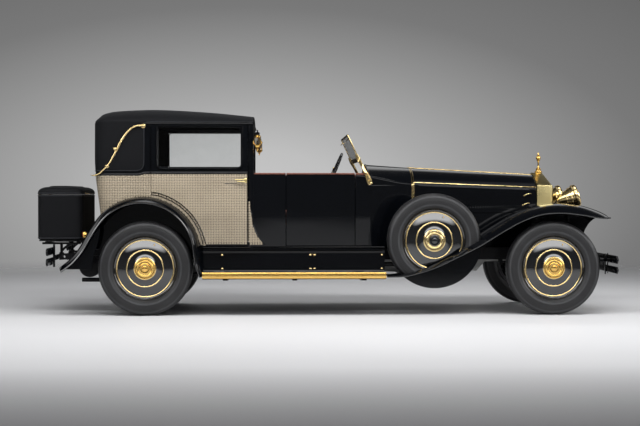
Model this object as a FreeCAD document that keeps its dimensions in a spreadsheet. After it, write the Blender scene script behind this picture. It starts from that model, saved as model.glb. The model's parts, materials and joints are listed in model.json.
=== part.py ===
"""A 1920s town car: closed passenger cabin, open driver's compartment, trunk and side-mounted spare wheels.

Millimetres. +X forward, +Y the car's left, +Z up. Sub-parts are drawn from the rear axle (x = 0 on it,
z = 0 on the ground) and carries a Placement that puts the origin under the middle of the car's length.
"""
import FreeCAD, Part
import math
import os
import Sketcher

Vector = FreeCAD.Vector
os.makedirs("parts", exist_ok=True)
doc = FreeCAD.newDocument("town_car")

# ---------------------------------------------------------------- driving dimensions
SIZES = {
    "wheelbase": 3720, "track": 1450, "rear_overhang": 1026, "front_overhang": 600,
    "tyre_radius": 430, "tyre_width": 165, "rim_radius": 285, "rim_width": 120, "axle_radius": 18,
    "king_pin_spread": 1200, "steering_arm": 140, "running_fit": 0.05, "seat_gap": 0.3, "door_gap": 7,
    "rail_half_gap": 320, "rail_width": 60, "rail_top": 600, "rail_depth": 110,
    "body_half_width": 700, "sill_height": 625, "belt_height": 1305, "roof_rail": 1750, "roof_height": 1905,
    "panel": 40, "cabin_rear": -467, "cabin_front": 978, "cowl_rear": 2040, "cowl_front": 2461,
    "hood_front": 3650, "hood_rear_height": 1357, "hood_front_height": 1292, "sheet_metal": 6,
    "fender_half_width": 850, "radiator_length": 158, "radiator_half_width": 310,
    "spare_x": 2630, "spare_height": 680, "spare_y": 690,
    "windscreen_half_width": 625, "steering_wheel_radius": 220, "driver_y": 330,
    "trunk_length": 422, "trunk_half_width": 470, "trunk_bottom": 680, "trunk_lid_line": 1100,
    "trunk_top": 1183,
    "trunk_wall": 12, "bumper_bar": 76, "lamp_radius": 108, "lamp_height": 1095, "lamp_y": 364,
}
sheet = doc.addObject("Spreadsheet::Sheet", "sizes")
for row, (alias, number) in enumerate(SIZES.items(), start=1):
    sheet.set(f"A{row}", alias)
    sheet.set(f"B{row}", str(number))
    sheet.setAlias(f"B{row}", alias)
doc.recompute()


class Measure:
    """A length that knows its value and the spreadsheet expression that drives it."""

    def __init__(self, value, text):
        self.value = float(value)
        self.text = text

    def _joined(self, other, sign, value):
        return Measure(value, f"({self.text} {sign} {measure(other).text})")

    def __add__(self, other):
        return self._joined(other, "+", self.value + measure(other).value)

    def __sub__(self, other):
        return self._joined(other, "-", self.value - measure(other).value)

    def __mul__(self, other):
        return self._joined(other, "*", self.value * measure(other).value)

    def __truediv__(self, other):
        return self._joined(other, "/", self.value / measure(other).value)

    def __rsub__(self, other):
        return measure(other) - self

    def __neg__(self):
        return Measure(-self.value, f"(-{self.text})")

    __radd__ = __add__
    __rmul__ = __mul__

    def __float__(self):
        return self.value


def measure(number):
    """A Measure stays as it is; a plain number becomes one."""
    return number if isinstance(number, Measure) else Measure(number, f"({number})")


def size(alias):
    """The sheet's value of one driving dimension, with its expression."""
    return Measure(sheet.get(alias), f"sizes.{alias}")


def mm(alias):
    """The sheet's value of one driving dimension as a plain number."""
    return float(sheet.get(alias))


AXLE_X = (size("rear_overhang") - size("front_overhang") - size("wheelbase")) / 2
WHEELBASE = size("wheelbase")
HALF_TRACK = size("track") / 2
KING_PIN_Y = size("king_pin_spread") / 2
NODES = []


# ---------------------------------------------------------------- helpers for every kind of sub-part
def keep(item, label):
    """Give a finished sub-part its Label and add it to the nodes that are written."""
    item.Label = label
    NODES.append(item)
    return item


def place(item, x=0, y=0, z=0, rotation=None):
    """Put an item at x, y, z from the rear axle, bound to the sheet."""
    if rotation is not None:
        item.Placement.Rotation = rotation
    for axis, number in zip("xyz", (measure(x) + AXLE_X, measure(y), measure(z))):
        item.setExpression(f"Placement.Base.{axis}", number.text)
    return item


def feature(label, shape):
    """A sub-part whose shape comes from Part's own functions: lofted and folded sheet-metal panels."""
    item = doc.addObject("Part::Feature", label)
    item.Shape = shape
    item.Placement = FreeCAD.Placement(Vector(float(AXLE_X), 0, 0), FreeCAD.Rotation())
    return keep(item, label)


def left_and_right(stem, shape):
    """One node on each side from the left-hand shape."""
    feature(stem + "_left", shape)
    feature(stem + "_right", mirrored(shape))


def both_sides(label, shape):
    """One node that holds the left-hand solids and their mirror images."""
    return feature(label, Part.makeCompound([shape, mirrored(shape)]))


def mirrored(shape):
    """The shape on the car's other side."""
    return shape.mirror(Vector(0, 0, 0), Vector(0, 1, 0))


def body(name):
    """An empty PartDesign body."""
    item = doc.addObject("PartDesign::Body", name)
    return item


def profile(owner, name, role, corners, offset=None):
    """A closed sketch on one of the body's origin planes: every corner's place is bound to the sheet."""
    plane = [part for part in owner.Origin.OriginFeatures if part.Role == role][0]
    sketch = owner.newObject("Sketcher::SketchObject", name)
    sketch.AttachmentSupport = [(plane, "")]
    sketch.MapMode = "FlatFace"
    if offset is not None:
        sketch.AttachmentOffset = FreeCAD.Placement(Vector(0, 0, float(offset)), FreeCAD.Rotation())
        sketch.setExpression("AttachmentOffset.Base.z", measure(offset).text)
    corners = [(measure(across), measure(up)) for across, up in corners]
    points = [Vector(across.value, up.value, 0) for across, up in corners]
    count = len(points)
    for index in range(count):
        sketch.addGeometry(Part.LineSegment(points[index], points[(index + 1) % count]), False)
    for index in range(count):
        sketch.addConstraint(Sketcher.Constraint("Coincident", index, 2, (index + 1) % count, 1))
    for index, (across, up) in enumerate(corners):
        for kind, number in (("DistanceX", across), ("DistanceY", up)):
            place_on = sketch.addConstraint(Sketcher.Constraint(kind, -1, 1, index, 1, number.value))
            sketch.setExpression(f"Constraints[{place_on}]", number.text)
    return sketch


def turned(name, corners):
    """A PartDesign body turned about its Y axis; corners are (radius, place along the axis)."""
    owner = body(name)
    sketch = profile(owner, name + "_profile", "XY_Plane", corners)
    turn = owner.newObject("PartDesign::Revolution", name + "_turn")
    turn.Profile = sketch
    turn.ReferenceAxis = (sketch, ["V_Axis"])
    turn.Angle = 360
    return owner


def wire(points):
    """A closed wire in space through corners; a corner written as (middle, end) is an arc to its end."""
    edges = []
    first = Vector(*points[0])
    here = first
    for entry in points[1:] + [points[0]]:
        if isinstance(entry[0], tuple):
            middle = Vector(*entry[0])
            end = Vector(*entry[1])
            edges.append(Part.Arc(here, middle, end).toShape())
        else:
            end = Vector(*entry)
            if end.distanceToPoint(here) > 1e-6:
                edges.append(Part.makeLine(here, end))
        here = end
    return Part.Wire(edges)


def loft(sections):
    """A closed ruled solid through section wires."""
    return Part.makeLoft(sections, True, True)


def side_plate(outline, low_y, high_y):
    """A side-view outline of (x, z) corners made a plate from low_y to high_y."""
    corners = []
    for entry in outline:
        if isinstance(entry[0], tuple):
            corners.append(tuple((point[0], low_y, point[1]) for point in entry))
        else:
            corners.append((entry[0], low_y, entry[1]))
    return Part.Face(wire(corners)).extrude(Vector(0, high_y - low_y, 0))


def end_plate(outline, low_x, high_x):
    """A front-view outline of (y, z) corners made a plate from low_x to high_x."""
    corners = []
    for entry in outline:
        if isinstance(entry[0], tuple):
            corners.append(tuple((low_x, point[0], point[1]) for point in entry))
        else:
            corners.append((low_x, entry[0], entry[1]))
    return Part.Face(wire(corners)).extrude(Vector(high_x - low_x, 0, 0))


def block(low, high):
    """A box from its lowest to its highest corner."""
    low = Vector(*low)
    high = Vector(*high)
    return Part.makeBox(high.x - low.x, high.y - low.y, high.z - low.z, low)


def rod(start, end, radius):
    """A round bar between two points."""
    start = Vector(*start)
    end = Vector(*end)
    return Part.makeCylinder(radius, start.distanceToPoint(end), start, end - start)


def lathe(corners, centre, axis):
    """A closed outline of (radius, along) corners turned about an axis through centre."""
    face = Part.Face(wire([(radius, 0, along) for radius, along in corners]))
    shape = face.revolve(Vector(0, 0, 0), Vector(0, 0, 1), 360)
    shape.Placement = FreeCAD.Placement(Vector(*centre), FreeCAD.Rotation(Vector(0, 0, 1), Vector(*axis)))
    return shape


def fused(shapes):
    """One solid from shapes that meet."""
    return shapes[0].multiFuse(shapes[1:]).removeSplitter()


# ---------------------------------------------------------------- wheels and tyres
def tyre(name):
    """A balloon tyre: rim beads, ribbed sidewalls and a rounded tread."""
    half = size("tyre_width") / 2
    rim = size("rim_radius") + size("seat_gap")
    crown = size("tyre_radius")
    bead = size("rim_width") / 2
    owner = turned(name, [(rim, -bead), (rim, bead), (rim + 30, half - 4), (rim + 80, half),
                          (crown - 22, half - 14), (crown, half - 52), (crown, 52 - half),
                          (crown - 22, 14 - half), (rim + 80, -half), (rim + 30, 4 - half)])
    return owner


def disc_wheel(name):
    """A dished disc wheel: bored hub, brake drum, rim barrel, conical disc and domed hub cap."""
    bore = size("axle_radius") + size("running_fit")
    rim = size("rim_radius")
    half = size("rim_width") / 2
    return turned(name, [(0, 70), (bore, 70), (bore, -75), (45, -75), (45, 10), (155, 10), (155, -70),
                         (165, -70), (165, 20), (rim - 23, 30), (rim - 23, -half), (rim, -half), (rim, half),
                         (rim - 17, 48), (100, 78), (96, 88), (50, 98), (0, 100)])


FLIP = FreeCAD.Rotation(Vector(0, 0, 1), 180)
KEEP = FreeCAD.Rotation()
AXLES = {"rear": 0, "front": WHEELBASE}
SIDES = {"left": (1, KEEP), "right": (-1, FLIP)}
for axle, axle_x in AXLES.items():
    for side, (sign, rotation) in SIDES.items():
        for stem, maker in (("wheel", disc_wheel), ("tyre", tyre)):
            node = f"{stem}_{axle}_{side}"
            place(keep(maker(node), node), axle_x, HALF_TRACK * sign, size("tyre_radius"), rotation)


def spare(label, maker):
    """The pair of spare wheels or tyres, standing in the front fenders."""
    halves = []
    for side, (sign, rotation) in SIDES.items():
        one = place(maker(f"{label}_{side}"), size("spare_x"), size("spare_y") * sign, size("spare_height"),
                    rotation)
        halves.append(one)
    pair = doc.addObject("Part::Compound", label)
    pair.Links = halves
    return keep(pair, label)


spare("spare_wheels", disc_wheel)
spare("spare_tyres", tyre)

# ---------------------------------------------------------------- chassis frame, axles and springs
wheelbase = mm("wheelbase")
rail_in = mm("rail_half_gap")
rail_out = rail_in + mm("rail_width")
rail_top = mm("rail_top")
rail_low = rail_top - mm("rail_depth")
axle_height = mm("tyre_radius")
HORN_X = -790
IRON_X = wheelbase + 480
IRON_Z = 472
HORN_Z = 520
EYE_RADIUS = 12
SPRING_PIN = 8
FRONT_SPRING_REACH = 420
REAR_SPRING_REACH = 560
REAR_SPRING_Y = 430
PAD_HEIGHT = 48
FRONT_EYE_Z = 456
REAR_EYE_Z = 530


def chassis_frame():
    """Two rails with a kick-up over the rear axle, dumb irons, horns, cross members and spring hangers."""
    rail = side_plate([(HORN_X - 45, 490), (-330, 520), (-260, 535), (260, 535), (420, rail_low),
                       (wheelbase - 560, rail_low), (IRON_X - 50, rail_low), (IRON_X - 30, 440),
                       (IRON_X + 30, 440), (IRON_X + 40, 475), (IRON_X + 10, 510),
                       (wheelbase + 60, rail_top - 26),
                       (wheelbase - 300, rail_top), (-400, rail_top), (-740, 550), (HORN_X - 45, 550)],
                      rail_in, rail_out)
    for x, z in ((IRON_X, IRON_Z), (HORN_X, HORN_Z)):
        rail = rail.cut(rod((x, rail_in - 5, z), (x, rail_out + 5, z), EYE_RADIUS))
    pieces = [rail]
    for x in (-REAR_SPRING_REACH, REAR_SPRING_REACH):
        pieces.append(rod((x, rail_in + 5, REAR_EYE_Z), (x, REAR_SPRING_Y + 32, REAR_EYE_Z), SPRING_PIN))
    for x in (wheelbase - FRONT_SPRING_REACH, wheelbase + FRONT_SPRING_REACH):
        for low_y in (rail_in - 6, rail_out):
            pieces.append(block((x - 16, low_y, FRONT_EYE_Z - 16), (x + 16, low_y + 6, rail_low + 20)))
        pieces.append(rod((x, rail_in - 6, FRONT_EYE_Z), (x, rail_out + 6, FRONT_EYE_Z), SPRING_PIN))
    pieces += [mirrored(piece) for piece in pieces]
    for x, length, low, high in ((-590, 60, 525.3, 565), (-430, 60, 545, 590), (480, 60, 520, 590),
                                 (1250, 60, 550, 598), (wheelbase - 80, 60, 500, 560)):
        pieces.append(block((x, -rail_in - 5, low), (x + length, rail_in + 5, high)))
    return fused(pieces)


feature("chassis_frame", chassis_frame())


def front_axle():
    """A dropped beam with spring pads and an upright eye for each king pin."""
    king_y = float(KING_PIN_Y)
    drop = end_plate([(-king_y + 24, 400), (-king_y + 24, 458), (-480, 458), (-400, 396), (400, 396),
                      (480, 458), (king_y - 24, 458), (king_y - 24, 400), (500, 400), (420, 336),
                      (-420, 336), (-500, 400)],
                     wheelbase - 22, wheelbase + 22)
    shapes = [drop]
    for sign in (-1, 1):
        eye = rod((wheelbase, sign * king_y, 400), (wheelbase, sign * king_y, 458), 28)
        shapes.append(eye)
        shapes.append(block((wheelbase - 40, sign * 355 - 30, 380), (wheelbase + 40, sign * 355 + 30, 396)))
    beam = fused(shapes)
    for sign in (-1, 1):
        bore = rod((wheelbase, sign * king_y, 380), (wheelbase, sign * king_y, 480), 14 + mm("running_fit"))
        beam = beam.cut(bore)
    return beam


feature("front_axle", front_axle())


def rear_axle():
    """A banjo housing with a tube and a stub shaft to each rear wheel."""
    half_track = float(HALF_TRACK)
    banjo = [(0, -70), (110, -70), (150, -40), (150, 40), (110, 70), (0, 70)]
    housing = lathe(banjo, (0, 0, axle_height), (1, 0, 0))
    tube = rod((0, -half_track + 95, axle_height), (0, half_track - 95, axle_height), 45)
    pads = [block((-45, sign * REAR_SPRING_Y - 28, axle_height + 10),
                  (45, sign * REAR_SPRING_Y + 28, axle_height + PAD_HEIGHT)) for sign in (-1, 1)]
    shaft = rod((0, -half_track - 65, axle_height), (0, half_track + 65, axle_height), mm("axle_radius"))
    return fused([housing, tube, shaft] + pads)


feature("rear_axle", rear_axle())


def leaf_spring(centre_x, half_length, y, seat_z, eye_z, leaves=5, leaf=9):
    """Stepped leaves bowed from their seat on the axle up to an eye at each end of the longest."""
    shapes = []
    top = seat_z + (leaves - 1) * leaf
    rise = eye_z - top - leaf / 2
    for step in range(leaves):
        reach = half_length * (1 - step / (leaves + 1))
        low = top - step * leaf
        end = low + rise * (reach / half_length) ** 2
        outline = [(centre_x - reach, end), ((centre_x, low), (centre_x + reach, end)),
                   (centre_x + reach, end + leaf), ((centre_x, low + leaf), (centre_x - reach, end + leaf))]
        shapes.append(side_plate(outline, y - 25, y + 25))
    ends = (centre_x - half_length, centre_x + half_length)
    shapes += [rod((x, y - 25, eye_z), (x, y + 25, eye_z), 15) for x in ends]
    spring = fused(shapes)
    for x in ends:
        spring = spring.cut(rod((x, y - 30, eye_z), (x, y + 30, eye_z), SPRING_PIN + mm("running_fit")))
    return spring


def springs():
    """The left-hand front and rear semi-elliptic springs."""
    front = leaf_spring(wheelbase, FRONT_SPRING_REACH, rail_in + mm("rail_width") / 2, 396, FRONT_EYE_Z)
    rear = leaf_spring(0, REAR_SPRING_REACH, REAR_SPRING_Y, axle_height + PAD_HEIGHT, REAR_EYE_Z)
    return Part.makeCompound([front, rear])


both_sides("leaf_springs", springs())


def engine_and_gearbox():
    """The engine as one plain block with its sump, the gearbox and the torque tube to the rear axle."""
    arm_y = rail_in - mm("seat_gap")
    shapes = [block((2560, -190, 560), (3520, 190, 1050)),
              side_plate([(2560, 560), (2620, 400), (3100, 370), (3180, 460), (3520, 470), (3520, 560)],
                         -150, 150),
              lathe([(0, 0), (125, 0), (118, 120), (110, 480), (60, 560), (0, 560)], (2560, 0, 470),
                    (-1, 0, 0)),
              rod((2010, 0, 470), (148, 0, axle_height + 4), 40),
              block((2700, -arm_y, 560), (2760, arm_y, 596)), block((3380, -arm_y, 560), (3440, arm_y, 596))]
    return fused(shapes)


feature("engine_and_gearbox", engine_and_gearbox())


def pipe_run(points, radius):
    """Round pipe along straight runs with a ball at each bend."""
    runs = [rod(start, end, radius) for start, end in zip(points, points[1:])]
    bends = [Part.makeSphere(radius, Vector(*point)) for point in points[1:-1]]
    return fused(runs + bends)


def exhaust_pipe():
    """Down pipe, a silencer inside the right rail and a tail pipe that leaves behind the fender."""
    y = -250
    front = pipe_run([(2660, -190.3, 620), (2660, y, 620), (2660, y, 450), (1300, y, 420)], 22)
    drum = rod((1300, y, 420), (700, y, 420), 66)
    tail = pipe_run([(700, y, 420), (330, y, 325), (-260, y, 298), (-640, y, 298)], 20)
    hangers = [block((1262, y - 10, 480), (1290, y + 10, 549.7)),
               block((-420, y - 8, 310), (-400, y + 8, 544.7))]
    return fused([front, drum, tail] + hangers)


feature("exhaust_pipe", exhaust_pipe())

tank = doc.addObject("Part::Cylinder", "fuel_tank")
tank.Radius = 100
tank.Height = 620
place(keep(tank, "fuel_tank"), -560, 310, 425, FreeCAD.Rotation(Vector(1, 0, 0), 90))

# ---------------------------------------------------------------- steering
def knuckle():
    """King pin held by two ears, a back plate, the wheel's spindle and a steering arm that points back."""
    king_y = float(KING_PIN_Y)
    pin = rod((wheelbase, king_y, 352), (wheelbase, king_y, 508), 14)
    ears = [rod((wheelbase, king_y, 352), (wheelbase, king_y, 394), 26),
            rod((wheelbase, king_y, 464), (wheelbase, king_y, 508), 26)]
    webs = [block((wheelbase - 24, king_y, 352), (wheelbase + 24, king_y + 42, 394)),
            block((wheelbase - 24, king_y, 464), (wheelbase + 24, king_y + 42, 508)),
            block((wheelbase - 36, king_y + 32, 352), (wheelbase + 36, king_y + 42, 508))]
    spindle = rod((wheelbase, king_y + 36, axle_height), (wheelbase, float(HALF_TRACK) + 65, axle_height),
                  mm("axle_radius"))
    arm_x = wheelbase - mm("steering_arm")
    arm = [block((arm_x, king_y - 12, 356), (wheelbase - 10, king_y + 12, 380)),
           rod((arm_x, king_y, 356), (arm_x, king_y, 380), 16)]
    shape = fused([pin] + ears + webs + [spindle] + arm)
    return shape.cut(rod((arm_x, king_y, 340), (arm_x, king_y, 400), 8 + mm("running_fit")))


left_and_right("knuckle", knuckle())


def tie_rod():
    """A bar between the steering arms: a pin up into the left arm, an open pivot at the right one."""
    king_y = float(KING_PIN_Y)
    arm_x = wheelbase - mm("steering_arm")
    bar = rod((arm_x, -king_y, 340), (arm_x, king_y, 340), 11)
    shapes = [bar]
    for sign in (-1, 1):
        shapes.append(rod((arm_x, sign * king_y, 328), (arm_x, sign * king_y, 355.5), 15))
        radius = 8 if sign > 0 else 6
        shapes.append(rod((arm_x, sign * king_y, 340), (arm_x, sign * king_y, 384), radius))
    return fused(shapes)


feature("tie_rod", tie_rod())
RAKE = math.radians(23)
COLUMN = Vector(math.cos(RAKE), 0, -math.sin(RAKE))
WHEEL_CENTRE = Vector(1748, mm("driver_y"), 1295)


def along_column(distance):
    """A point on the steering column, from the centre of the steering wheel."""
    return tuple(WHEEL_CENTRE + COLUMN * distance)


def steering_wheel():
    """Rim, four spokes, hub and a short shaft that turns inside the column."""
    radius = mm("steering_wheel_radius")
    rim = Part.makeTorus(radius, 13, WHEEL_CENTRE, COLUMN)
    across = COLUMN.cross(Vector(0, 1, 0))
    hub = rod(along_column(-25), along_column(30), 32)
    shaft = rod(along_column(20), along_column(90), 11)
    spokes = []
    for quarter in range(4):
        angle = math.radians(45 + 90 * quarter)
        reach = (Vector(0, 1, 0) * math.cos(angle) + across * math.sin(angle)) * radius
        spokes.append(rod(tuple(WHEEL_CENTRE), tuple(WHEEL_CENTRE + reach), 8))
    return fused([rim, hub, shaft] + spokes)


feature("steering_wheel", steering_wheel())


def steering_column():
    """The fixed tube that carries the wheel's shaft down through the toe board to the steering box."""
    tube = rod(along_column(36), along_column(1150), 24)
    bore = rod(along_column(30), along_column(96), 11 + mm("running_fit"))
    box = block((2770, mm("driver_y") - 34, rail_top + mm("seat_gap")), (2860, mm("driver_y") + 34, 900))
    return fused([tube, box]).cut(bore)


feature("steering_column", steering_column())


def levers():
    """Gear lever and hand brake beside the driver, and three pedals."""
    gear = [rod((1850, 0, 640), (1720, 0, 1040), 9), Part.makeSphere(24, Vector(1718, 0, 1046)),
            block((1790, -50, 625), (1910, 50, 660))]
    brake = [rod((1900, -110, 640), (1690, -110, 960), 8), rod((1720, -110, 914), (1668, -110, 994), 13),
             block((1860, -140, 625), (1940, -80, 650))]
    pedals = []
    for y in (230, 330, 430):
        stem = rod((2290, y, 690), (2190, y, 790), 7)
        pad = rod((2196, y, 784), (2182, y, 798), 32)
        foot = block((2270, y - 12, 625), (2310, y + 12, 700))
        pedals.append(fused([stem, pad, foot]))
    return Part.makeCompound([fused(gear), fused(brake)] + pedals)


feature("levers", levers())

# ---------------------------------------------------------------- cabin: one shell, cut into its panels
sill = mm("sill_height")
belt = mm("belt_height")
rail_line = mm("roof_rail")
cabin_front = mm("cabin_front")
cabin_rear = mm("cabin_rear")
half_width = mm("body_half_width")
panel = mm("panel")
seam = mm("door_gap") / 2
DOOR_SILL = sill + 2 * seam
touch = mm("seat_gap")
CORNER = 100
# height, half width, place of the rear face at each level of the cabin's sides
CABIN_LEVELS = ((sill, half_width - 28, cabin_rear + 57), (900, half_width, cabin_rear + 52),
                (belt, half_width, cabin_rear), (rail_line, half_width - 18, cabin_rear))
# wheel arch: centre and the radius of the fender's crown at the body side
ARCH_X = -30
ARCH_Z = 550
ARCH_CROWN = 520
DOOR_ARCH = ARCH_CROWN + 48
DOOR_REAR = 44
DOOR_FRONT = 930


def cabin_solid(inset):
    """The cabin's solid from sill to roof rail, taken in from its outer face."""
    sections = []
    radius = CORNER - inset
    bend = radius * (1 - math.sqrt(0.5))
    for height, half, rear in CABIN_LEVELS:
        wide = half - inset
        back = rear + inset
        sections.append(wire([(cabin_front, -wide, height), (cabin_front, wide, height),
                              (back + radius, wide, height),
                              ((back + bend, wide - bend, height), (back, wide - radius, height)),
                              (back, radius - wide, height),
                              ((back + bend, bend - wide, height), (back + radius, -wide, height))]))
    return loft(sections)


cabin_outer = cabin_solid(0)
cabin_shell = cabin_outer.cut(cabin_solid(panel))


def arch_height(x, radius):
    """Height of the wheel arch's circle at x."""
    return ARCH_Z + math.sqrt(radius ** 2 - (x - ARCH_X) ** 2)


def arch_arc(start_x, end_x, radius):
    """The arch's arc from start_x to end_x as (middle, end) corners."""
    middle = (start_x + end_x) / 2
    return (middle, arch_height(middle, radius)), (end_x, arch_height(end_x, radius))


def arch_foot(radius):
    """Where an arch of that radius comes down to the door's lower edge, ahead of the wheel."""
    return ARCH_X + math.sqrt(radius ** 2 - (DOOR_SILL - ARCH_Z) ** 2)


def hinge(x, y, z, reach, sign=1):
    """A door's knuckle and leaf (sign 1) or the pillar's (sign -1), round the hinge axis at x, y."""
    low = z if sign > 0 else z + 30 + touch
    barrel = rod((x, y, low), (x, y, low + 30), 8)
    start, end = sorted((x + sign * 3.5, x + sign * 32))
    return fused([barrel, block((min(start, x), y - 4, low), (max(end, x), y + 3, low + 30)),
                  block((start, y - reach, low), (end, y + 3, low + 30))])


REAR_HINGE_Y = half_width + 9
REAR_HINGES = ((1130, 20), (1260, 20), (1640, 40))


def cabin_quarter():
    """Leather-topped quarter behind the door, rounded into the rear wall, with a strip on over the wheel.

    It rests on the wheelhouse, and the strip between the fender and the door ends at the sill.
    """
    radius = ARCH_CROWN + touch
    strip = DOOR_ARCH - 2 * seam
    end = DOOR_REAR - seam
    outline = [(end, rail_line), (-480, rail_line), (-480, arch_height(-480, radius)),
               arch_arc(-480, arch_foot(radius), radius), (arch_foot(strip), DOOR_SILL),
               arch_arc(arch_foot(strip), end, strip)]
    shape = cabin_shell.common(side_plate(outline, half_width - CORNER + touch, half_width + 10))
    hinges = [hinge(DOOR_REAR, REAR_HINGE_Y, z, reach, -1) for z, reach in REAR_HINGES]
    return fused([shape] + hinges)


left_and_right("cabin_quarter", cabin_quarter())

WINDOW = ((105, 1344), (870, 1344), (870, 1720), (105, 1720))


def window_outline(shrink):
    """The rear door's window, taken in by a clearance."""
    (low_x, low_z), _, (high_x, high_z), _ = WINDOW
    return [(low_x + shrink, low_z + shrink), (high_x - shrink, low_z + shrink),
            (high_x - shrink, high_z - shrink), (low_x + shrink, high_z - shrink)]


def rear_door():
    """Rear-hinged door: straight front edge, curved over the fender at the back, with its window cut."""
    start = DOOR_REAR + seam
    outline = [(start, arch_height(start, DOOR_ARCH)), arch_arc(start, arch_foot(DOOR_ARCH), DOOR_ARCH),
               (DOOR_FRONT - seam, DOOR_SILL),
               (DOOR_FRONT - seam, rail_line - 2 * seam), (start, rail_line - 2 * seam)]
    shape = cabin_shell.common(side_plate(outline, half_width - 90, half_width + 10))
    shape = shape.cut(side_plate(window_outline(0), half_width - 100, half_width + 20))
    hinges = [hinge(DOOR_REAR, REAR_HINGE_Y, z, reach) for z, reach in REAR_HINGES]
    return fused([shape] + hinges)


left_and_right("rear_door", rear_door())
glass_leaf = cabin_solid(17).cut(cabin_solid(23))
window_plate = side_plate(window_outline(touch), half_width - 90, half_width)
left_and_right("rear_door_glass", glass_leaf.common(window_plate))

division = cabin_outer.common(block((DOOR_FRONT + seam, -900, sill), (cabin_front, 900, rail_line)))
division = division.cut(block((900, -500, 1330), (1000, 500, 1690)))
feature("division_wall", division)
BACK_LIGHT = (230, 1470, 1650)
rear_wall = cabin_shell.common(block((-600, CORNER - half_width, sill), (0, half_width - CORNER, rail_line)))
rear_wall = rear_wall.cut(block((-600, -BACK_LIGHT[0], BACK_LIGHT[1]), (-300, BACK_LIGHT[0], BACK_LIGHT[2])))
feature("cabin_rear_wall", rear_wall)
front_pane = block((954, -500 + touch, 1330 + touch), (960, 500 - touch, 1690 - touch))
back_pane = block((cabin_rear + 17, touch - BACK_LIGHT[0], BACK_LIGHT[1] + touch),
                  (cabin_rear + 23, BACK_LIGHT[0] - touch, BACK_LIGHT[2] - touch))


def roof_solid(inset, low):
    """Domed roof: place along the car, half width and crown height of each section."""
    crown = mm("roof_height")
    table = ((cabin_rear + 1, 610, crown - 115), (cabin_rear + 30, 662, crown - 72), (-340, 682, crown - 34),
             (-100, 682, crown - 4), (250, 682, crown), (650, 682, crown - 28),
             (cabin_front, 682, crown - 75))
    sections = []
    for place_x, half, top in table:
        x = place_x + inset if place_x < -300 else place_x
        x = x - inset if place_x == cabin_front else x
        wide = half - inset
        sections.append(wire([(x, -wide, low), (x, wide, low), (x, wide, rail_line + 14),
                              ((x, 0, top - inset), (x, -wide, rail_line + 14))]))
    return loft(sections)


feature("cabin_roof", roof_solid(0, rail_line + touch).cut(roof_solid(28, rail_line - 20)))


def body_floor():
    """Floor boards on the chassis rails, and a wheelhouse over each rear wheel."""
    low = rail_top + touch
    wide = half_width - 40
    house = half_width - CORNER + touch + 8
    plan = [(cabin_rear + 60, -house), (560, -house), (560, -wide), (cabin_front, -wide), (2030, -600),
            (2440, -440), (2440, 440), (2030, 600), (cabin_front, wide), (560, wide), (560, house),
            (cabin_rear + 60, house)]
    floor = Part.Face(wire([(x, y, low) for x, y in plan])).extrude(Vector(0, 0, sill - low))
    shapes = [floor]
    for side in (-1, 1):
        low_y, high_y = sorted((side * (house - 8), side * half_width))
        ring = rod((ARCH_X, low_y, ARCH_Z), (ARCH_X, high_y, ARCH_Z), ARCH_CROWN)
        ring = ring.cut(rod((ARCH_X, side * house, ARCH_Z), (ARCH_X, side * (half_width + 10), ARCH_Z),
                            ARCH_CROWN - 8))
        shapes.append(ring.common(block((-520, low_y, low), (900, high_y, 1200))))
    return fused(shapes)


feature("body_floor", body_floor())

# ---------------------------------------------------------------- driver's compartment, cowl and hood
cowl_rear = mm("cowl_rear")
cowl_front = mm("cowl_front")
hood_front = mm("hood_front")
SHOULDER = 1205
SHOULDER_FRONT = 1214
HOOD_SHOULDER = 1168
COWL_HALF = 630
HOOD_HALF = 435
HOOD_NOSE_HALF = 300
HOOD_EDGE = 930
COCKPIT_TOP = 1285
FRONT_DOOR_REAR = 1277
FRONT_DOOR_FRONT = 1913


def driver_half(x):
    """Half width of the driver's compartment at its sides, which draw in towards the cowl."""
    return half_width + (COWL_HALF - half_width) * (x - cabin_front) / (cowl_rear - cabin_front)


def driver_band(x, inset):
    """The side wall's section at x, from its outer face inwards."""
    half = driver_half(x)
    return wire([(x, half - 28, sill), (x, half, 900), (x, half, COCKPIT_TOP),
                 (x, half - inset, COCKPIT_TOP),
                 (x, half - inset, 900), (x, half - inset - 28, sill)])


driver_side = loft([driver_band(cabin_front + touch, panel), driver_band(cowl_rear + 20, panel)])


def driver_panel(start, end, low, high=COCKPIT_TOP):
    """The stretch of the left side wall between two places along the car."""
    return driver_side.common(block((start, 400, low), (end, 800, high)))


seat_side = driver_panel(cabin_front + touch, FRONT_DOOR_REAR - seam, sill)
front_hinge_y = driver_half(FRONT_DOOR_REAR) + 9
FRONT_HINGES = ((760, 26), (1150, 20))
pillar_hinges = [hinge(FRONT_DOOR_REAR, front_hinge_y, z, reach, -1) for z, reach in FRONT_HINGES]
both_sides("seat_side_panels", fused([seat_side] + pillar_hinges))
door_panel = driver_panel(FRONT_DOOR_REAR + seam, FRONT_DOOR_FRONT - seam, sill + 2 * seam)
door_hinges = [hinge(FRONT_DOOR_REAR, front_hinge_y, z, reach) for z, reach in FRONT_HINGES]
left_and_right("front_door", fused([door_panel] + door_hinges))


def cowl_solid(inset, start, end):
    """The cowl's solid, drawn in from the compartment's width to the hood's."""
    sections = []
    for x in (start, end):
        share = (x - cowl_rear) / (cowl_front - cowl_rear)
        half = COWL_HALF + (HOOD_HALF - COWL_HALF) * share - inset
        foot = half - 25 + 42 * share
        shoulder = SHOULDER + (SHOULDER_FRONT - SHOULDER) * share - inset * 0.5
        top = 1386 + (mm("hood_rear_height") - 1386) * share - inset
        sections.append(wire([(x, -foot, sill), (x, foot, sill), (x, half, shoulder),
                              ((x, 0, top), (x, -half, shoulder))]))
    return loft(sections)


HOOD_HINGE_RADIUS = 7
HOOD_HINGE_GAP = HOOD_HINGE_RADIUS + touch


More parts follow.
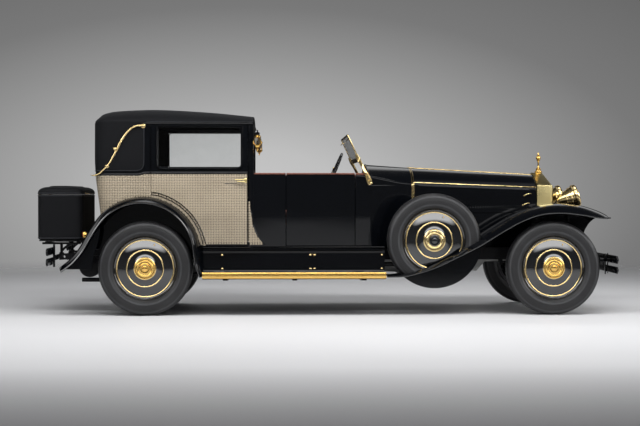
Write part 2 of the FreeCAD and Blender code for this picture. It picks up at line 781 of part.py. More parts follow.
def cowl():
    """Hollow cowl with its bulkhead, a wall ahead of each front door and the hood's hinge rod."""
    shell = cowl_solid(0, cowl_rear, cowl_front).cut(cowl_solid(12, cowl_rear - 20, cowl_front - 14))
    post = driver_panel(FRONT_DOOR_FRONT + seam, cowl_rear + 12, sill, SHOULDER)
    hinge_rear = (cowl_front - 8, 0, mm("hood_rear_height"))
    hinge_front = (hood_front + 5 - touch, 0, mm("hood_front_height"))
    shape = fused([shell, post, mirrored(post), rod(hinge_rear, hinge_front, HOOD_HINGE_RADIUS)])
    return shape.cut(rod(along_column(600), along_column(900), 24 + touch))


cowl_shape = cowl()
feature("cowl", cowl_shape)
dashboard = cowl_solid(12, cowl_rear + 10, cowl_rear + 24)
dashboard = dashboard.common(block((2000, -700, 1120), (2100, 700, 1400)))
dashboard = dashboard.cut(cowl_shape).cut(rod(along_column(100), along_column(500), 24 + touch))
feature("dashboard", dashboard)


def crown_height(y, half, shoulder, top):
    """Height at y of the circular crown that spans both shoulders."""
    rise = top - shoulder
    radius = (half ** 2 + rise ** 2) / (2 * rise)
    return top - radius + math.sqrt(radius ** 2 - y ** 2)


sheet_metal = mm("sheet_metal")
# place, half width at the lower edge and at the shoulder, shoulder height, crown height
HOOD_ENDS = ((cowl_front + mm("door_gap"), 444, HOOD_HALF, SHOULDER_FRONT, mm("hood_rear_height")),
             (hood_front - mm("door_gap") + 5, HOOD_NOSE_HALF, HOOD_NOSE_HALF, HOOD_SHOULDER,
              mm("hood_front_height")))


def hood_half():
    """Left hood half: a side panel and a crowned top panel in one sheet, from the centre hinge down."""
    sections = []
    for x, foot, half, shoulder, top in HOOD_ENDS:
        middle = half / 2
        outer_end = crown_height(HOOD_HINGE_GAP, half, shoulder, top)
        arc_out = ((x, middle, crown_height(middle, half, shoulder, top)), (x, HOOD_HINGE_GAP, outer_end))
        inner = half - sheet_metal
        arc_in = ((x, middle, crown_height(middle, half, shoulder, top) - sheet_metal),
                  (x, inner, shoulder - 2))
        sections.append(wire([(x, foot, HOOD_EDGE), (x, half, shoulder), arc_out,
                              (x, HOOD_HINGE_GAP, outer_end - sheet_metal), arc_in,
                              (x, foot - sheet_metal, HOOD_EDGE)]))
    return loft(sections)


left_and_right("hood", hood_half())

def engine_side_panel():
    """Fixed wall between the chassis rail and the hood's lower edge, where the fender's inner edge lands."""
    sections = []
    for x, half in ((cowl_front + touch, 452), (hood_front + 5 - touch, HOOD_NOSE_HALF + 4)):
        sections.append(wire([(x, half - 6, rail_top + touch), (x, half, rail_top + touch),
                              (x, half, HOOD_EDGE - 6),
                              (x, half - 6, HOOD_EDGE - 6)]))
    return loft(sections)


# ---------------------------------------------------------------- radiator
radiator_front = hood_front + 5 + mm("radiator_length")
radiator_half = mm("radiator_half_width")
OPENING = (245, 645, 1110)


def radiator_shell():
    """Bright surround with sloped shoulders, open in front for the shutters."""
    low = 560 + touch
    outline = [(-radiator_half, low), (radiator_half, low), (radiator_half, 1188),
               ((0, 1312), (-radiator_half, 1188))]
    shell = end_plate(outline, hood_front + 5, radiator_front)
    half, low, high = OPENING
    opening = end_plate([(-half, low), (half, low), (half, high), ((0, high + 70), (-half, high))],
                        3600, 3900)
    return shell.cut(opening)


feature("radiator_shell", radiator_shell())


def radiator_shutters():
    """The core's block behind a row of upright shutter blades."""
    half, low, high = OPENING
    clear = [(-half + touch, low + touch), (half - touch, low + touch), (half - touch, high),
             ((0, high + 70 - touch), (touch - half, high))]
    core = end_plate(clear, hood_front + 25, radiator_front - 60)
    blades = []
    count = 13
    pitch = 2 * (half - 12) / (count - 1)
    for index in range(count):
        y = -half + 12 + index * pitch
        blades.append(end_plate([(y - 3, low + 6), (y + 3, low + 6), (y + 3, high + 4), (y - 3, high + 4)],
                                radiator_front - 62, radiator_front - 22))
    return fused([core] + blades)


feature("radiator_shutters", radiator_shutters())
cap = turned("radiator_cap", [(0, 0), (34, 0), (34, 12), (26, 20), (26, 34), (12, 44), (9, 70), (20, 120),
                              (24, 150), (12, 185), (0, 200)])
place(keep(cap, "radiator_cap"), 3705, 0, 1312 + touch, FreeCAD.Rotation(Vector(1, 0, 0), 90))

# ---------------------------------------------------------------- fenders, running boards and aprons
fender_half = mm("fender_half_width")
BEAD_TO_CROWN = 45


def fender_section(x, z, lean, inner_y, inner_rise, crown):
    """A fender's arched section: from its inner edge over the crown to the outer bead at x, z.

    lean is the outward direction of the section in the side view, in degrees from straight ahead.
    """
    out = (math.cos(math.radians(lean)), math.sin(math.radians(lean)))

    def point(y, rise):
        return (x + out[0] * rise, y, z + out[1] * rise)

    middle = (inner_y + fender_half) / 2
    inside = sheet_metal
    return wire([point(inner_y, inner_rise), (point(middle, crown), point(fender_half, 0)),
                 point(fender_half - inside, 0),
                 (point(middle, crown - inside), point(inner_y, inner_rise - inside))])


def rear_fender():
    """Rear fender: round over the wheel and flared out to its tail."""
    bead = ARCH_CROWN - BEAD_TO_CROWN
    stations = [(ARCH_X + 500, 345, 0), (ARCH_X + bead + 14, 450, 0)]
    for lean in range(0, 151, 15):
        angle = math.radians(lean)
        stations.append((ARCH_X + bead * math.cos(angle), ARCH_Z + bead * math.sin(angle), lean))
    stations += [(-500, 690, 150), (-565, 580, 142), (-650, 480, 132), (-755, 400, 125)]
    sections = [fender_section(x, z, lean, half_width + touch, BEAD_TO_CROWN, BEAD_TO_CROWN - 6)
                for x, z, lean in stations]
    return loft(sections)


both_sides("rear_fenders", rear_fender())


def hood_side(x):
    """Where the front fender's inner edge lies: along the hood's side wall and the cowl's."""
    if x > hood_front:
        return HOOD_NOSE_HALF + 25
    if x > cowl_front:
        return 453 + touch + (HOOD_NOSE_HALF - 448) * (x - cowl_front) / (hood_front - cowl_front)
    return 453 + touch + (610 - 453) * (cowl_front - x) / (cowl_front - 2190)


# front fender's bead: place, height, lean of the section, rise of the crown above it
FRONT_FENDER = ((2192, 354, 90, 14), (2330, 358, 92, 22), (2443, 377, 100, 34), (2634, 438, 112, 50),
                (2825, 527, 117, 62), (3016, 623, 120, 70), (3207, 738, 120, 74), (3399, 846, 114, 74),
                (3590, 917, 103, 72), (3780, 932, 90, 84), (3972, 914, 80, 90), (4110, 890, 68, 76),
                (4200, 884, 56, 44), (4230, 885, 48, 16))


WELL_LIP = 0.75


def front_fender():
    """Long flowing front fender with the well that the spare wheel stands in."""
    sheet_shape = loft([fender_section(x, z, lean, hood_side(x), 10, crown)
                        for x, z, lean, crown in FRONT_FENDER])
    spare_x = mm("spare_x")
    spare_z = mm("spare_height")
    inner = mm("spare_y") - mm("tyre_width") / 2 - 8
    outer = mm("spare_y") + mm("tyre_width") / 2 + 8
    radius = mm("tyre_radius")
    hole = rod((spare_x, inner, spare_z), (spare_x, outer, spare_z), radius + touch)
    well = rod((spare_x, inner - 5, spare_z), (spare_x, outer + 5, spare_z), radius + 6).cut(hole)
    lip = [(x + math.cos(math.radians(lean)) * crown * WELL_LIP,
            z + math.sin(math.radians(lean)) * crown * WELL_LIP)
           for x, z, lean, crown in FRONT_FENDER[6::-1]]
    under = [(2100, 150), (3300, 150)] + lip + [(2100, lip[-1][1])]
    well = well.common(side_plate(under, inner - 20, outer + 20))
    return sheet_shape.cut(hole).fuse(well)


left_front_fender = front_fender()
both_sides("front_fenders", left_front_fender)
BOARD_REAR = 516
BOARD_FRONT = 2186
BOARD_TOP = 395


def running_board():
    """Rubber-topped board with a rounded outer edge, carried by three brackets from the chassis rail."""
    low = BOARD_TOP - 62
    board = block((BOARD_REAR, 618, low), (BOARD_FRONT, fender_half, BOARD_TOP))
    rim = [edge for edge in board.Edges
           if edge.BoundBox.YMin > fender_half - 1 and edge.BoundBox.XLength > 1000]
    shapes = [board.makeFillet(8, rim)]
    for x in (700, 1330, 1960):
        shapes.append(block((x, rail_out + touch, low - 33), (x + 50, 840, low)))
        shapes.append(block((x, rail_out + touch, low - 33), (x + 50, rail_out + 12, 530)))
    return fused(shapes)


both_sides("running_boards", running_board())


def splash_apron():
    """Upright sheet between the running board and the sill, with three pairs of round knobs."""
    y = 622
    sheet_shape = block((BOARD_REAR, y, BOARD_TOP + touch), (BOARD_FRONT, y + 6, rail_top))
    knobs = []
    for x in (690, 1540, 2160):
        for z in (BOARD_TOP + 22, 545):
            knobs.append(rod((x, y + 3, z), (x, y + 14, z), 9))
    ledge = block((BOARD_REAR, y, 586), (cabin_front, half_width - 32, rail_top))
    front_ledge = block((cabin_front, y, 586), (BOARD_FRONT, y + 20, rail_top))
    return fused([sheet_shape, ledge, front_ledge] + knobs)


both_sides("splash_aprons", Part.makeCompound([splash_apron(), engine_side_panel()]))

# ---------------------------------------------------------------- bumpers, trunk, lamps, screen, seats
bar = mm("bumper_bar")


def bumpers():
    """Front: two full-width bars. Rear: a pair of short bars on each side of the trunk."""
    front_x = IRON_X + 95
    front = [block((front_x, -800, 370), (front_x + 25, 800, 370 + bar - 8)),
             block((front_x, -800, 462), (front_x + 25, 800, 462 + bar))]
    for side in (-1, 1):
        low_y, high_y = sorted((side * 335, side * 365))
        front.append(block((front_x - 15, low_y, 346), (front_x, high_y, 545)))
        front.append(block((IRON_X + 40 + touch, low_y, 442), (front_x - 10, high_y, 500)))
    end_x = HORN_X - 45 - touch
    rear = [block((end_x - 20, rail_in + 10, 495), (end_x, 540, 545)),
            block((end_x - 38, 490, 430), (end_x - 18, 520, 646)),
            block((end_x - 58, 430, 446), (end_x - 36, 820, 522)),
            block((end_x - 58, 430, 540), (end_x - 36, 820, 616))]
    rear_left = fused(rear)
    return Part.makeCompound([fused(front), rear_left, mirrored(rear_left)])


feature("bumpers", bumpers())
trunk_rear = -mm("rear_overhang")
trunk_front = trunk_rear + mm("trunk_length")
trunk_half = mm("trunk_half_width")
trunk_low = mm("trunk_bottom")
lid_line = mm("trunk_lid_line")
wall = mm("trunk_wall")
TRUNK_HINGE = (trunk_front + 5, lid_line + 7)


def trunk_box():
    """Open-topped trunk body with rounded upright corners."""
    outer = block((trunk_rear, -trunk_half, trunk_low), (trunk_front, trunk_half, lid_line))
    corners = [edge for edge in outer.Edges if edge.BoundBox.ZLength > 100]
    outer = outer.makeFillet(24, corners)
    inner = block((trunk_rear + wall, wall - trunk_half, trunk_low + wall),
                  (trunk_front - wall, trunk_half - wall, lid_line + 10))
    return outer.cut(inner)


def trunk_lid():
    """Hollow crowned lid with its hinge rod along the front edge."""
    low = lid_line + touch
    top = mm("trunk_top")
    outer = side_plate([(trunk_rear, low), (trunk_rear, top - 32),
                        ((trunk_rear + 12, top - 10), (trunk_rear + 36, top - 3)),
                        (((trunk_rear + trunk_front) / 2, top), (trunk_front - 36, top - 3)),
                        ((trunk_front - 12, top - 10), (trunk_front, top - 32)), (trunk_front, low)],
                       -trunk_half, trunk_half)
    inner = block((trunk_rear + wall, wall - trunk_half, low - 10),
                  (trunk_front - wall, trunk_half - wall, top - 36))
    hinge_x, hinge_z = TRUNK_HINGE
    return fused([outer.cut(inner), rod((hinge_x, -300, hinge_z), (hinge_x, 300, hinge_z), 6)])


feature("trunk_box", trunk_box())
feature("trunk_lid", trunk_lid())


def trunk_rack():
    """Slatted shelf under the trunk on two posts from the frame horns."""
    top = trunk_low - touch
    shapes = [block((trunk_rear + 20, y - 22, top - 14), (trunk_front - 10, y + 22, top))
              for y in (-400, -240, -80, 80, 240, 400)]
    shapes += [block((x, -430, top - 34), (x + 30, 430, top - 12))
               for x in (trunk_rear + 60, trunk_front - 70)]
    for y in (-350, 350):
        shapes.append(block((HORN_X - 40, y - 15, 550 + touch), (HORN_X - 15, y + 15, top - 34)))
        shapes.append(block((trunk_rear + 60, y - 15, top - 50), (trunk_front - 40, y + 15, top - 30)))
    return fused(shapes)


feature("trunk_rack", trunk_rack())


LAMP_TILT = 18


def headlamp():
    """Bullet-shaped lamp with a rolled rim, tilted up a little, on a post from the fender."""
    radius = mm("lamp_radius")
    y = mm("lamp_y")
    z = mm("lamp_height")
    aim = math.radians(LAMP_TILT)
    shell = lathe([(0, 0), (18, 3), (52, 45), (82, 100), (radius - 8, 160), (radius, 175), (radius, 205),
                   (radius - 8, 212), (60, 222), (0, 225)],
                  (3836, y, z - 62), (math.cos(aim), 0, math.sin(aim)))
    post = rod((3940, y, z - 60), (3940, y, 860), 13)
    post = max(post.cut(left_front_fender).Solids, key=lambda solid: solid.BoundBox.ZMax)
    return fused([shell, post])


both_sides("headlamps", headlamp())


def carriage_lamp():
    """Candle-lamp on the front pillar: finial, glazed barrel and bracket."""
    lamp = lathe([(0, 0), (7, 4), (10, 22), (26, 36), (32, 60), (35, 130), (30, 146), (14, 160), (7, 180),
                  (0, 195)],
                 (1016, 700, 1495), (0, 0, 1))
    bracket = rod((cabin_front - 20, 680, 1560), (1010, 698, 1560), 8)
    return fused([lamp, bracket]).cut(cabin_outer)


tail_lamp = fused([rod((-560, 560, 730), (-590, 560, 730), 30), rod((-565, 560, 730), (-380, 560, 730), 9)])
both_sides("side_and_tail_lamps", Part.makeCompound([carriage_lamp(), tail_lamp.cut(cabin_outer)]))


def band_outline(line, half):
    """Outline of a band of that half width along a line in the side view, squared off at its ends."""
    left, right = [], []
    for before, here, after in zip(line[:1] + line, line, line[1:] + line[-1:]):
        dx, dz = after[0] - before[0], after[1] - before[1]
        step = half / math.hypot(dx, dz)
        left.append((here[0] - dz * step, here[1] + dx * step))
        right.append((here[0] + dz * step, here[1] - dx * step))
    return left + right[::-1]


def landau_iron():
    """S-shaped bright bar over the leather quarter: a flat band with a ball, two seats and a tail."""
    y = half_width + 14
    line = [(-24, 1726), (-71, 1727), (-132, 1702), (-181, 1651), (-229, 1576), (-260, 1510), (-291, 1453),
            (-321, 1397), (-376, 1331), (-412, 1299)]
    bar = side_plate(band_outline(line, 9), y - 6, y + 8)
    tail = rod((-408, y - 1, 1300), (-512, y - 72, 1278), 8)
    ball = Part.makeSphere(22, Vector(-272, y, 1516))
    seats = [rod((x, y + 11, z), (x, seat_y, z), radius)
             for x, z, seat_y, radius in ((-30, 1726, 660, 16), (-360, 1344, 640, 14))]
    return fused([bar, tail, ball] + seats).cut(cabin_outer)


both_sides("landau_irons", landau_iron())
SCREEN_FOOT = (2052, 1200)
SCREEN_TOP = (1842, 1652)


def along_screen(share):
    """A point up the windscreen's post: 0 at its foot and 1 at its top."""
    return (SCREEN_FOOT[0] + (SCREEN_TOP[0] - SCREEN_FOOT[0]) * share,
            SCREEN_FOOT[1] + (SCREEN_TOP[1] - SCREEN_FOOT[1]) * share)


def screen_bar(share, radius):
    """A bar across the windscreen."""
    x, z = along_screen(share)
    half = mm("windscreen_half_width")
    return rod((x, -half, z), (x, half, z), radius)


def windscreen_frame():
    """Two raked posts that stand on the cowl's shoulders and the frame of the glass between them."""
    half = mm("windscreen_half_width")
    posts = []
    for side in (-1, 1):
        foot_x, foot_z = along_screen(0)
        top_x, top_z = along_screen(1)
        posts.append(rod((foot_x, side * (half - 8), foot_z), (top_x, side * (half - 8), top_z), 12))
    frame = fused(posts + [screen_bar(0.985, 11), screen_bar(0.50, 10)])
    return frame.cut(cowl_solid(0, cowl_rear, cowl_front)).cut(cowl_shape)


feature("windscreen_frame", windscreen_frame())


def windscreen_glass():
    """The pane between the frame's two bars."""
    half = mm("windscreen_half_width") - 20 - touch
    low_x, low_z = along_screen(0.528)
    high_x, high_z = along_screen(0.958)
    outline = [(low_x - 3, low_z), (low_x + 3, low_z), (high_x + 3, high_z), (high_x - 3, high_z)]
    return side_plate(outline, -half, half)


feature("fixed_glass", Part.makeCompound([front_pane, back_pane, windscreen_glass()]))


def cushion(low, high, radius):
    """A padded block with every edge rounded."""
    shape = block(low, high)
    return shape.makeFillet(radius, shape.Edges)


front_base = block((1010, -560, sill + touch), (1560, 560, 800))
front_cushion = cushion((1135, -570, 800 + touch), (1610, 570, 950), 35)
front_back = cushion((985, -590, 800 + touch), (1130, 590, 1312), 45)
feature("front_seat", Part.makeCompound([front_cushion, front_back]))
rear_base = block((-330, -540, sill + touch), (160, 540, 860))
rear_cushion = cushion((-243, -560, 860 + touch), (190, 560, 1010), 40)
rear_back = cushion((-368, -560, 860 + touch), (-248, 560, 1440), 45)
feature("seat_boxes", Part.makeCompound([front_base, rear_base]))
feature("rear_seat", Part.makeCompound([rear_cushion, rear_back]))

# ---------------------------------------------------------------- check every object, then write the nodes
doc.recompute()
for item in doc.Objects:
    if "Invalid" in item.State or "Error" in item.State:
        raise RuntimeError(f"{item.Label} failed: {item.State}")
for item in NODES:
    if item.Shape.isNull() or not item.Shape.isValid():
        raise RuntimeError(f"{item.Label} has a bad shape")
    item.Shape.exportStep(f"parts/{item.Label}.step")
box = FreeCAD.BoundBox()
for item in NODES:
    box.add(item.Shape.BoundBox)
corners = (box.XMin, box.XMax, box.YMin, box.YMax, box.ZMin, box.ZMax)
print(len(NODES), "nodes; box", [round(number, 1) for number in corners])
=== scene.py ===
# %% [markdown]
# # A town car of the late twenties, piece by piece
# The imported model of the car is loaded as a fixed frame. Every visible part is then a surface worked out
# with numpy, or a node of the frame with a better finish. All lengths are in metres.

# %% Load the frame
import bmesh
import bpy
import json
import math
import numpy as np
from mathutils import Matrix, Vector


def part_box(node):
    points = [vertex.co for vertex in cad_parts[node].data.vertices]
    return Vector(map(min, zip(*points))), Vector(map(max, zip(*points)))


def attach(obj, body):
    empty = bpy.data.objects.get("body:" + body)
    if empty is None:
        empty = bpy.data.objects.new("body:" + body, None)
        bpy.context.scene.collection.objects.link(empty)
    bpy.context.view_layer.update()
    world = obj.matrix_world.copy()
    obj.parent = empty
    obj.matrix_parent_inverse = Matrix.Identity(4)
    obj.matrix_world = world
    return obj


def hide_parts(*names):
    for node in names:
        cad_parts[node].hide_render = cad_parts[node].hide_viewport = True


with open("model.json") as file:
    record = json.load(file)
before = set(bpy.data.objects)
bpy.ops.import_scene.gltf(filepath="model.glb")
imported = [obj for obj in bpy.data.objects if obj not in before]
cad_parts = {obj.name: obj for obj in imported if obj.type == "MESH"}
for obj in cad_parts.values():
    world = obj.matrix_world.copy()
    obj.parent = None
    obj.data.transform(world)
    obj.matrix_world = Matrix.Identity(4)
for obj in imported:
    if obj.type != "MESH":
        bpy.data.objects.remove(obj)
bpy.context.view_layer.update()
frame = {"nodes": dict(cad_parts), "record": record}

NODES = frame["nodes"]
BODY_OF = {node: body for body, nodes in frame["record"]["behaviour"]["bodies"].items() for node in nodes}
AXLE = sum(corner.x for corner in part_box("tyre_rear_left")) / 2
print(len(NODES), "nodes; the rear axle is at x =", round(AXLE, 3))

# %% [markdown]
# ## Shader maths
# A finish is a small sum about a place on the surface: how strong a stain is, how deep a grain. Writing
# such sums as node links is long-winded, so one class wraps a socket and lets +, - and * add the nodes.

# %% A number inside a finish
class Number:
    """A socket that a finish works with; an operator on it adds the Math node that does the same."""

    def __init__(self, finish, socket):
        self.finish, self.socket = finish, socket

    def sum(self, operation, *others):
        return self.finish.node("Math", {"operation": operation}, self, *others)

    def __add__(self, other):
        return self.sum("ADD", other)

    def __sub__(self, other):
        return self.sum("SUBTRACT", other)

    def __mul__(self, other):
        return self.sum("MULTIPLY", other)

    def __rsub__(self, other):
        return self.finish.node("Math", {"operation": "SUBTRACT"}, other, self)

    def clamp(self):
        return self.finish.node("Clamp", {}, self)

    __radd__, __rmul__ = __add__, __mul__


class Finish:
    """A material under construction, with one method that adds any node."""

    def __init__(self, name, **fixed):
        self.material = bpy.data.materials.new(name)
        self.material.use_nodes = True
        self.tree = self.material.node_tree
        self.surface = self.tree.nodes["Principled BSDF"]
        self.place = self.tree.nodes.new("ShaderNodeTexCoord").outputs["Object"]
        for socket, value in fixed.items():
            self.surface.inputs[socket.replace("_", " ")].default_value = value

    def node(self, kind, settings, *values, out=0, **named):
        """Adds a node: its settings first, then its sockets in order or by name, and gives its output."""
        made = self.tree.nodes.new("ShaderNode" + kind)
        for key, value in settings.items():
            setattr(made, key, value)
        pairs = list(enumerate(values)) + [(key.replace("_", " "), value) for key, value in named.items()]
        for key, value in pairs:
            socket = value.socket if isinstance(value, Number) else value
            if isinstance(socket, bpy.types.NodeSocket):
                self.tree.links.new(socket, made.inputs[key])
            else:
                made.inputs[key].default_value = socket
        return Number(self, made.outputs[out])

    def noise(self, scale, detail=2.0, stretch=(1, 1, 1), roughness=0.5):
        """Cloudy noise of that many bumps a metre, drawn out along an axis by a small stretch."""
        moved = self.node("Mapping", {}, self.place, Scale=stretch)
        return self.node("TexNoise", {}, Vector=moved, Scale=scale, Detail=detail, Roughness=roughness)

    def cells(self, scale):
        """Distance to the nearest of scattered points, as between the pores of a hide."""
        return self.node("TexVoronoi", {"feature": "F1"}, Vector=self.place, Scale=scale)

    def along(self, axis):
        """The place along an axis of the object, in metres."""
        return self.node("SeparateXYZ", {}, self.place, out="XYZ".index(axis))

    def blend(self, share, one, other):
        """A colour between two, by a share from 0 to 1."""
        mix = self.tree.nodes.new("ShaderNodeMix")
        mix.data_type = "RGBA"
        self.tree.links.new(share.socket, mix.inputs[0])
        for socket, value in ((mix.inputs[6], one), (mix.inputs[7], other)):
            if isinstance(value, Number):
                self.tree.links.new(value.socket, socket)
            else:
                socket.default_value = (*value, 1)
        return Number(self, mix.outputs[2])

    def feed(self, **inputs):
        """Links what changes over the surface to the sockets that may change."""
        for name, value in inputs.items():
            self.tree.links.new(value.socket, self.surface.inputs[name.replace("_", " ")])
        return self

    def bump(self, height, depth, strength=1.0):
        """Turns a height of 0 to 1, that many metres deep, into the surface's lie."""
        return self.feed(Normal=self.node("Bump", {}, Height=height, Strength=strength, Distance=depth))


FINISHES = {}

# %% [markdown]
# ## Paint
# Coach enamel of this age was flatted and varnished in many coats: nearly black underneath, with a hard
# clear film on top. A dark base under a clear coat gives that, and a faint waviness keeps the long
# reflections alive.

# %% Black coach enamel
def black_enamel(name, base=(0.001, 0.0013, 0.002), rough=0.16, wave=0.0004, coat=0.8, index=1.36):
    """Near-black base, rough by noise, under a clear coat whose surface waves slightly."""
    finish = Finish(name, Coat_Weight=coat, Coat_Roughness=0.035, Coat_IOR=index, Specular_IOR_Level=0.05)
    cloud = finish.noise(3.0, 3)
    fine = finish.noise(60.0, 2)
    finish.feed(Roughness=fine * 0.08 + cloud * 0.08 + (rough - 0.06),
        Base_Color=finish.blend(cloud, base, [c * 1.6 for c in base]))
    return finish.bump(finish.noise(9.0, 1) * 0.7 + fine * 0.3, wave, 0.25)


FINISHES["enamel"] = black_enamel("black_coach_enamel")
FINISHES["moulding"] = black_enamel("moulding_enamel", base=(0.0016, 0.0018, 0.0024), rough=0.2, wave=0.0002)
FINISHES["disc"] = black_enamel("polished_disc_enamel", wave=0.0001, coat=1.0, index=1.85)
FINISHES["chassis"] = black_enamel("chassis_enamel", base=(0.006, 0.006, 0.0065), rough=0.42,
    wave=0.0008, coat=0.35)
print("paint finishes:", sorted(FINISHES))

# %% [markdown]
# ## Metals
# The bright parts are polished brass with a warm gold tone. Polishing leaves fine random scratches and
# slow changes of tone where hands and cloths have been, so roughness and colour both follow noise.

# %% Brass, nickel, steel and cast metal
def metal(name, light, dark, rough, spread, grain=220.0, depth=0.00004):
    """Two tones mixed by slow noise, roughness from both slow and fine noise, fine scratches as bump."""
    finish = Finish(name, Metallic=1.0)
    slow = finish.noise(5.0, 4)
    fine = finish.noise(grain, 2)
    finish.feed(Base_Color=finish.blend(slow, light, dark), Roughness=slow * spread + fine * spread * 0.6 + rough)
    return finish.bump(fine, depth, 0.4)


FINISHES["brass"] = metal("polished_brass", (0.9, 0.72, 0.38), (0.78, 0.56, 0.24), 0.07, 0.14)
FINISHES["radiator"] = metal("satin_brass", (0.86, 0.74, 0.38), (0.7, 0.56, 0.24), 0.17, 0.16, 600.0, 0.000008)
FINISHES["gold"] = metal("gilded_brass", (0.9, 0.6, 0.19), (0.76, 0.44, 0.1), 0.09, 0.16)
FINISHES["old_brass"] = metal("dull_brass", (0.52, 0.35, 0.12), (0.36, 0.22, 0.07), 0.22, 0.22)
FINISHES["nickel"] = metal("nickel_plate", (0.62, 0.6, 0.56), (0.48, 0.46, 0.43), 0.1, 0.18)
FINISHES["steel"] = metal("oiled_steel", (0.1, 0.1, 0.105), (0.05, 0.05, 0.052), 0.32, 0.25, 120.0, 0.0002)
FINISHES["cast"] = metal("cast_aluminium", (0.34, 0.34, 0.33), (0.2, 0.2, 0.195), 0.38, 0.2, 300.0, 0.0006)
print("metal finishes:", len(FINISHES))

# %% [markdown]
# ## Leather, rubber, cane, wood and glass
# Hide has a net of fine creases between small flat cells, which a cell texture gives. Rubber is dull with
# a bloom. Cane is straw-coloured with streaks along the strand. Walnut has drawn-out rings.

# %% Soft and natural finishes
def hide(name, light, dark, rough, scale=700.0, depth=0.0003, shine=0.3):
    """Cells a millimetre or two across as grain; the tone follows slow clouds and fine creases."""
    finish = Finish(name, Specular_IOR_Level=shine)
    grain = finish.cells(scale)
    slow = finish.noise(4.0, 4)
    crease = finish.noise(38.0, 4, roughness=0.65)
    tone = (slow * 0.8 + crease * 0.4 - 0.1).clamp()
    finish.feed(Base_Color=finish.blend(tone, dark, light), Roughness=grain * 0.25 + slow * 0.12 + rough)
    return finish.bump(grain * 0.6 + crease * 0.6, depth, 0.7)


def rubber(name, light, dark, rough=0.62):
    """Matt black with a grey bloom in slow patches and a fine pebbled skin."""
    finish = Finish(name, Specular_IOR_Level=0.36)
    slow = finish.noise(7.0, 4)
    fine = finish.noise(420.0, 2)
    finish.feed(Base_Color=finish.blend((slow * 1.2 - 0.1).clamp(), dark, light), Roughness=fine * 0.2 + rough)
    return finish.bump(fine, 0.0002, 0.5)


FINISHES["top_leather"] = hide("slate_top_leather", (0.0055, 0.0058, 0.0068),
    (0.0022, 0.0023, 0.0028), 0.46, shine=0.14)
FINISHES["piping"] = hide("piping_leather", (0.022, 0.023, 0.027), (0.01, 0.011, 0.013), 0.34)
FINISHES["seat_hide"] = hide("oxblood_seat_hide", (0.15, 0.046, 0.026), (0.062, 0.018, 0.011), 0.3, 520.0, 0.0004)
FINISHES["tyre"] = rubber("tyre_rubber", (0.019, 0.019, 0.02), (0.0075, 0.0075, 0.0082), 0.33)
FINISHES["tyre_band"] = rubber("sidewall_rubber", (0.045, 0.046, 0.048), (0.023, 0.023, 0.025), 0.37)
FINISHES["board_rubber"] = rubber("ribbed_board_rubber", (0.022, 0.022, 0.023), (0.01, 0.01, 0.011))

cane = Finish("woven_cane", Coat_Weight=0.25, Coat_Roughness=0.2)
streaks = cane.noise(160.0, 3, (1, 1, 1), 0.7)
patches = cane.noise(6.0, 3)
cane.feed(Base_Color=cane.blend((streaks * 0.7 + patches * 0.5 - 0.1).clamp(), (0.22, 0.18, 0.129),
    (0.46, 0.39, 0.282)), Roughness=streaks * 0.3 + 0.32)
FINISHES["cane"] = cane.bump(streaks, 0.0003, 0.6)

# painted shade: the strands' bevelled edges and undersides take this darker finish
FINISHES["cane_edge_shade"] = hide("cane_shadow", (0.085, 0.068, 0.048), (0.03, 0.022, 0.014), 0.45)
walnut = Finish("polished_walnut", Coat_Weight=0.8, Coat_Roughness=0.06)
rings = walnut.node("TexWave", {"wave_type": "BANDS", "bands_direction": "Z"}, Vector=walnut.place, Scale=9.0,
    Distortion=7.0, Detail=4.0, Detail_Scale=1.6)
walnut.feed(Base_Color=walnut.blend(rings, (0.06, 0.022, 0.008), (0.21, 0.085, 0.03)),
    Roughness=rings * 0.15 + 0.25)
FINISHES["walnut"] = walnut.bump(rings, 0.0001, 0.3)


def glass(name, tint, rough=0.0, show=1.0):
    """Clear glass with a faint tint and dust that is only just there."""
    finish = Finish(name, Transmission_Weight=show, IOR=1.2)
    dust = finish.noise(14.0, 4)
    finish.feed(Base_Color=finish.blend(dust, tint, [c * 0.93 for c in tint]), Roughness=dust * 0.03 + rough)
    return finish


FINISHES["glass"] = glass("window_glass", (0.975, 0.985, 0.985))
FINISHES["lens"] = glass("lamp_lens", (0.98, 0.97, 0.93), 0.02)
FINISHES["red_lens"] = glass("red_lens", (0.75, 0.03, 0.02), 0.05, 0.7)
dial = Finish("dial_face", Coat_Weight=1.0, Coat_Roughness=0.02)
dial.feed(Base_Color=dial.blend(dial.noise(40.0), (0.55, 0.52, 0.45), (0.66, 0.63, 0.56)),
    Roughness=dial.noise(90.0) * 0.1 + 0.3)
FINISHES["dial"] = dial
print(len(FINISHES), "finishes")

# %% [markdown]
# ## From arrays to pieces
# Each piece is one or more grids of points. A grid can close on itself either way, like a ring, or be a
# sheet that is given a thickness. The maker turns grids into faces, joins doubled points, faces them all
# outwards by the sign of the volume they enclose, and shades them smooth up to a crease angle.

# %% The piece maker
MADE = []


def unit(vectors):
    """Vectors divided by their own length."""
    return vectors / np.maximum(np.linalg.norm(vectors, axis=-1, keepdims=True), 1e-12)


def quads(rows, wrap_rows=False, wrap_columns=False):
    """The four corners of every cell of a grid of point numbers."""
    if wrap_rows:
        rows = np.concatenate([rows, rows[:1]])
    if wrap_columns:
        rows = np.concatenate([rows, rows[:, :1]], axis=1)
    return np.stack([rows[:-1, :-1], rows[1:, :-1], rows[1:, 1:], rows[:-1, 1:]], axis=-1).reshape(-1, 4)


